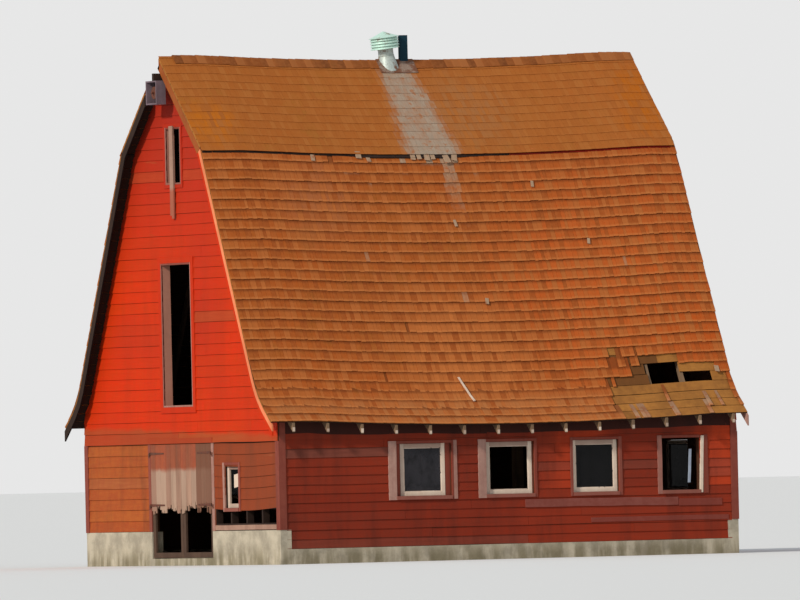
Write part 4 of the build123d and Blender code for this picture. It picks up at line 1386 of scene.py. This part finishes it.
# the ventilator, turned round its leaning axis
vent = dict(
    lean=-7.0, midHeight=0.115, sides=40, stackRadius=0.13, footRadius=0.2, skirt=0.21, collar=0.06,
    stack=0.11, headRadius=0.245, headHeight=0.19, cone=0.11, louvres=4, louvreDepth=0.028, dent=0.006,
    seam=0.004, seamSide=6, wall=0.006,
)
saddle = dict(
    leg=0.208, count=9, inset=0.002, curl=0.004, middle=(0.0125, 0.0215), bend=(0.1, 0.019),
    edge=(0.004, 0.007),
)
stay = dict(across=(-0.018, 0.128), up=(-0.15, 0.398), out=(-0.034, 0.034))


def ventPlace():
    low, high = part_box("ventilator_stack")
    middle = (Vector(low) + Vector(high)) / 2
    turn = Matrix.Rotation(math.radians(vent["lean"]), 4, "Y")
    return Matrix.Translation(middle) @ turn @ Matrix.Translation((0, 0, -vent["midHeight"]))


def makeVentPart(name, profile, chance, dent, seam, finish, replaced):
    # a sheet turned round the axis, with dents, and a lapped seam on the far side
    place, pile, rings = ventPlace(), newPile(), []
    for radius, z in profile:
        ring = []
        for k, (c, s) in enumerate(circle(vent["sides"])):
            r = radius + dent * noise.noise(Vector((c * 1.5, s * 1.5, z * 6 + 3)))
            r += seam if k == vent["seamSide"] else 0.0
            ring.append(tuple(place @ Vector((r * c, r * s, z))))
        rings.append(ring)
    addStrip(pile, rings, chance)
    pileObject("vent_" + name, pile, finish, ["ventilator_" + replaced])


def makeVentilator():
    dent, seam, radius, rim = vent["dent"], vent["seam"], vent["stackRadius"], vent["collar"]
    foot = rim + vent["stack"]
    collar = [
        (vent["footRadius"], -vent["skirt"]), (radius + 0.004, rim - 0.012), (radius + 0.009, rim - 0.006),
        (radius + 0.004, rim), (radius - vent["wall"], rim + 0.001),
    ]
    makeVentPart("collar", collar, 0.4, dent * 0.6, seam, "galvanisedSheet", "base")
    stack = [
        (radius - 0.001, rim + 0.001), (radius, rim + 0.012), (radius - 0.001, foot - 0.014),
        (radius + 0.005, foot - 0.008), (radius - 0.001, foot - 0.001),
    ]
    makeVentPart("stack", stack, 0.5, dent * 0.5, seam, "galvanisedSheet", "stack")
    full, deep = vent["headRadius"], vent["louvreDepth"]
    head = [(full - deep, foot)]
    pitch = vent["headHeight"] / vent["louvres"]
    for i in range(vent["louvres"]):
        z = foot + i * pitch
        head.extend([(full - 0.002, z + 0.001), (full, z + 0.006), (full - deep, z + pitch - 0.002)])
    brim, wide = foot + vent["headHeight"], full + deep / 2
    head.extend([(wide - 0.003, brim - 0.001), (wide - 0.001, brim + 0.005)])
    head.extend((wide * (1 - t), brim + vent["cone"] * t) for t in (0.25, 0.5, 0.75, 0.96))
    makeVentPart("head", head, 0.6, dent, 0.0, "mintSheet", "head")


def makeVentSaddle():
    # the sheet bent over the ridge under the collar, with curled lower edges
    low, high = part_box("ventilator_base")
    pile = newPile()
    x0, x1, leg, count = low[0] + saddle["inset"], high[0] - saddle["inset"], saddle["leg"], saddle["count"]
    (under, over), (edgeLow, edgeHigh) = saddle["middle"], saddle["edge"]
    for side in (-1, 1):
        rings = []
        for i in range(count + 1):
            x = x0 + (x1 - x0) * i / count
            curl = saddle["curl"] * (1 + noise.noise(Vector((x * 5, side, 2.0))))
            corners = ((0.0, under), (leg, edgeLow), (leg, edgeHigh + curl), saddle["bend"], (0.0, over))
            rings.append([overRidge(side, x, run, rise) for run, rise in corners])
        addStrip(pile, rings, 0.3)
    pileObject("vent_saddle", pile, "rustedSaddle")


def makeStay():
    # the plank that stayed the ventilator
    pile = newPile()
    up = [ventPlace().translation.z + z for z in stay["up"]]
    addPlank(pile, lambda u, out, z: (u, -out, z), stay["across"], up, stay["out"], 0.4, 0.0, 0.003)
    pileObject("vent_stay", pile, "stayWood")


makeRidgeCap()
makeVentilator()
makeVentSaddle()
makeStay()
print("ridge and ventilator made")

# the open carrier box under the track, with its sheave
carrier = dict(
    board=0.025, back=0.02, joint=0.003, clear=0.001, wheel=0.105, hub=0.03, axle=0.018, axleHalf=0.07,
    wheelWidth=0.04, rim=0.006, groove=0.02, forward=0.012, sides=28, seed=95,
)


def makeCarrier():
    low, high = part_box("hay_carrier")
    draw = random.Random(carrier["seed"])
    place = lambda u, out, z: (-out, u, z)
    board, clear = carrier["board"], carrier["clear"]
    near, far = -high[0] + clear, -low[0] - clear
    y0, y1, z0, z1 = low[1] + clear, high[1] - clear, low[2] + clear, high[2] - clear
    pile = newPile()
    addFrame(pile, place, (y0, y1, z0, z1), board, (near, far), draw, (z0, z1 - board), sway=0.002)
    pileObject("carrier_box", pile, "carrierWood", ["hay_carrier"])
    pile = newPile()
    step = (y1 - y0 - 2 * board) / 3
    for i in range(3):
        a = y0 + board + i * step
        across, out = (a, a + step - carrier["joint"]), (near, near + carrier["back"])
        addPlank(pile, place, across, (z0 + board, z1 - board), out, draw.random())
    # its dark back is painted shade inside the box
    pileObject("carrier_back", pile, "darkTimber")
    pile = newPile()
    centre = Vector(((low[0] + high[0]) / 2 - carrier["forward"], (y0 + y1) / 2, (z0 + z1) / 2))
    radius, half, hub, rim = carrier["wheel"], carrier["wheelWidth"] / 2, carrier["hub"], carrier["rim"]
    wheel = [
        (hub, -half), (radius, -half), (radius, -half + rim), (radius - carrier["groove"], 0.0),
        (radius, half - rim), (radius, half), (hub, half),
    ]
    axle = [(carrier["axle"], -carrier["axleHalf"]), (carrier["axle"], carrier["axleHalf"])]
    turned = circle(carrier["sides"])
    for outline in (wheel, axle):
        rings = [[tuple(centre + Vector((x, r * c, r * s))) for c, s in turned] for r, x in outline]
        addStrip(pile, rings, 0.5)
    pileObject("carrier_sheave", pile, "rustyIron")


# painted tail ends, old boards nailed on the south wall, and dark boards between the siding and the tails,
# painted as the shade under the eave
tails = dict(
    count=14, inset=0.15, half=0.0225, setback=0.03, depth=0.11, foot=0.012, paint=0.002, show=(0.045, 0.07),
)
oldBoards = (  # across, up, tone, how red, how bent, how much it leans
    ((0.27, 3.15), (0.84, 0.975), 0.3, 0.0, 0.012, -0.02),
    ((3.16, 3.98), (0.82, 0.94), 0.8, 0.5, 0.01, 0.0),
    ((1.5, 4.1), (0.575, 0.655), 0.5, 0.45, 0.008, 0.0),
)
oldBoardOut = (0.002, 0.027)
eaveBoards = dict(
    out=(0.0005, 0.012), low=2.14, high=2.474, lowSag=0.5, lengths=(1.4, 3.0), gap=0.003, cuts=6, seed=99,
)
sillStrip = dict(across=(1.25, 3.53), up=(0.58, 0.662), out=(0.001, 0.02))


def makeTailEnds():
    pile = newPile()
    pitch = (2 * halfLength - 2 * tails["inset"]) / (tails["count"] - 1)
    y, z, slope = onOutline(eaveReach - tails["setback"], outlineReaches)
    low = z - (deckDepth + tails["depth"]) / slope[0] + tails["foot"]
    for side in (-1, 1):
        for i in range(tails["count"]):
            middle = -halfLength + tails["inset"] + i * pitch
            draw = random.Random(i)
            corners = section(tails["half"], draw.uniform(*tails["show"]))
            foot = low - sagHere(middle)
            rings = [
                [(middle + a, side * (y + out), foot + high) for a, high in corners]
                for out in (-0.001, tails["paint"])
            ]
            addStrip(pile, rings, draw.random(), draw.uniform(0.0, 0.7))
    pileObject("tail_ends", pile, "creamSash")


def makeEaveBoards():
    # the dark colour of these boards is painted shade under the eave
    draw = random.Random(eaveBoards["seed"])
    near, far = eaveBoards["out"]
    for wall, side in (("south", -1), ("north", 1)):
        pile = newPile()
        x = -halfLength + 0.001
        while x < halfLength - 0.05:
            end = min(x + draw.uniform(*eaveBoards["lengths"]), halfLength - 0.001)
            rings = []
            for i in range(eaveBoards["cuts"] + 1):
                cx = x + (end - eaveBoards["gap"] - x) * i / eaveBoards["cuts"]
                sag = sagHere(cx)
                low, high = eaveBoards["low"] - eaveBoards["lowSag"] * sag, eaveBoards["high"] - sag
                outs = ((near, low), (far, low), (far, high), (near, high))
                rings.append([(cx, side * (halfWidth + out), z) for out, z in outs])
            addStrip(pile, rings, draw.random())
            x = end
        pileObject("eave_boards_" + wall, pile, "eaveShade")


def makeOldBoards():
    pile = newPile()
    for across, up, *wear in oldBoards:
        addRail(pile, walls["south"], across, up, oldBoardOut, *wear)
    pileObject("apron_boards", pile, "apronPaint")


def makeSillStrip():
    # the bleached board left under the gap beside the doorway
    pile = newPile()
    addRail(pile, walls["front"], sillStrip["across"], sillStrip["up"], sillStrip["out"], 0.6, 0.0, 0.008)
    pileObject("sill_strip", pile, "greyPlank")


makeCarrier()
makeTailEnds()
makeOldBoards()
makeEaveBoards()
makeSillStrip()

# finishes of the frame's own nodes
nodeFinishes = dict(
    oldConcrete="foundation_south foundation_north foundation_rear foundation_front door_sill ground_floor",
    sheathing="front_wall_left rear_wall front_gable_wall rear_gable_wall south_wall north_wall",
    innerTimber="loft_joists loft_floor loft_beams loft_posts ridge_board rafters_lower_south"
    " rafters_lower_north rafters_upper_south rafters_upper_north",
    # dark timber that is partly painted shade: the wall behind the missing boards, the far rake and the
    # track inside
    darkTimber="front_wall_right rake_front_north hay_track",
    cornerTrim="corner_boards",
    fadedTrim="rake_rear_south rake_rear_north",
    rustyIron="door_left_hinges door_right_hinges door_pintles",
)
for finish, names in nodeFinishes.items():
    for name in names.split():
        piece = nodes[name]
        if not piece.material_slots:
            piece.data.materials.append(finishes[finish])
        for holder in piece.material_slots:
            holder.material = finishes[finish]
print("details made")

# the picture: floor, light and camera
picture = dict(
    distance=240.0, eye=1.45, azimuth=-27.0, roll=1.3, lens=641.0, aim=(-0.086, 0.044, 4.38),
    sun=2.9, sunSize=5.0, sunColour=(1.0, 0.95, 0.86), sunFrom=(-0.86, -0.32, 0.55), sky=0.5,
    skyColour=(0.86, 0.93, 1.0, 1), backColour=(0.8, 0.8, 0.8, 1), floorColour=(0.72, 0.72, 0.72, 1),
    floor=1600, floorDrop=0.001, nearest=1.0, farthest=4000.0,
)


def link(name, data):
    holder = bpy.data.objects.new(name, data)
    bpy.context.scene.collection.objects.link(holder)
    return holder


def makeStage():
    size = dict(radius=picture["floor"], location=(0, 0, -picture["floorDrop"]))
    bpy.ops.mesh.primitive_circle_add(vertices=96, fill_type="NGON", **size)
    floor = bpy.context.object
    floor.name = "floor"
    material, shader = startMaterial("paleFloor")[:2]
    join(shader, {"Base Color": picture["floorColour"], "Roughness": 1.0})
    floor.data.materials.append(material)


def makeLight():
    light = bpy.data.lights.new("sun", "SUN")
    light.energy = picture["sun"]
    light.angle = math.radians(picture["sunSize"])
    light.color = picture["sunColour"]
    link("sun", light).rotation_euler = Vector(picture["sunFrom"]).to_track_quat("Z", "Y").to_euler()
    world = bpy.data.worlds.new("sky")
    bpy.context.scene.world = world
    world.use_nodes = True
    tree = world.node_tree
    tree.nodes.clear()
    rays = addNode(tree, "LightPath").outputs
    mirrored = maths("MAXIMUM", rays["Is Glossy Ray"], rays["Is Transmission Ray"])
    seen = maths("MAXIMUM", rays["Is Camera Ray"], mirrored)
    soft = addNode(tree, "Background", {"Color": picture["skyColour"], "Strength": picture["sky"]})
    pale = addNode(tree, "Background", {"Color": picture["backColour"], "Strength": 1.0})
    both = addNode(tree, "MixShader", {0: seen, 1: soft.outputs[0], 2: pale.outputs[0]})
    addNode(tree, "OutputWorld", {0: both.outputs[0]})


def makeCamera():
    data = bpy.data.cameras.new("camera")
    data.lens = picture["lens"]
    data.sensor_width = 36.0
    data.clip_start = picture["nearest"]
    data.clip_end = picture["farthest"]
    camera = link("camera", data)
    turn, aim = math.radians(picture["azimuth"]), Vector(picture["aim"])
    spot = aim + Vector((math.sin(turn), -math.cos(turn), 0)) * picture["distance"]
    spot.z = picture["eye"]
    camera.location = spot
    facing = (spot - aim).to_track_quat("Z", "Y").to_matrix().to_4x4()
    camera.rotation_euler = (facing @ Matrix.Rotation(math.radians(-picture["roll"]), 4, "Z")).to_euler()
    bpy.context.scene.camera = camera


makeStage()
makeLight()
makeCamera()
bpy.context.scene.view_settings.view_transform = "Standard"
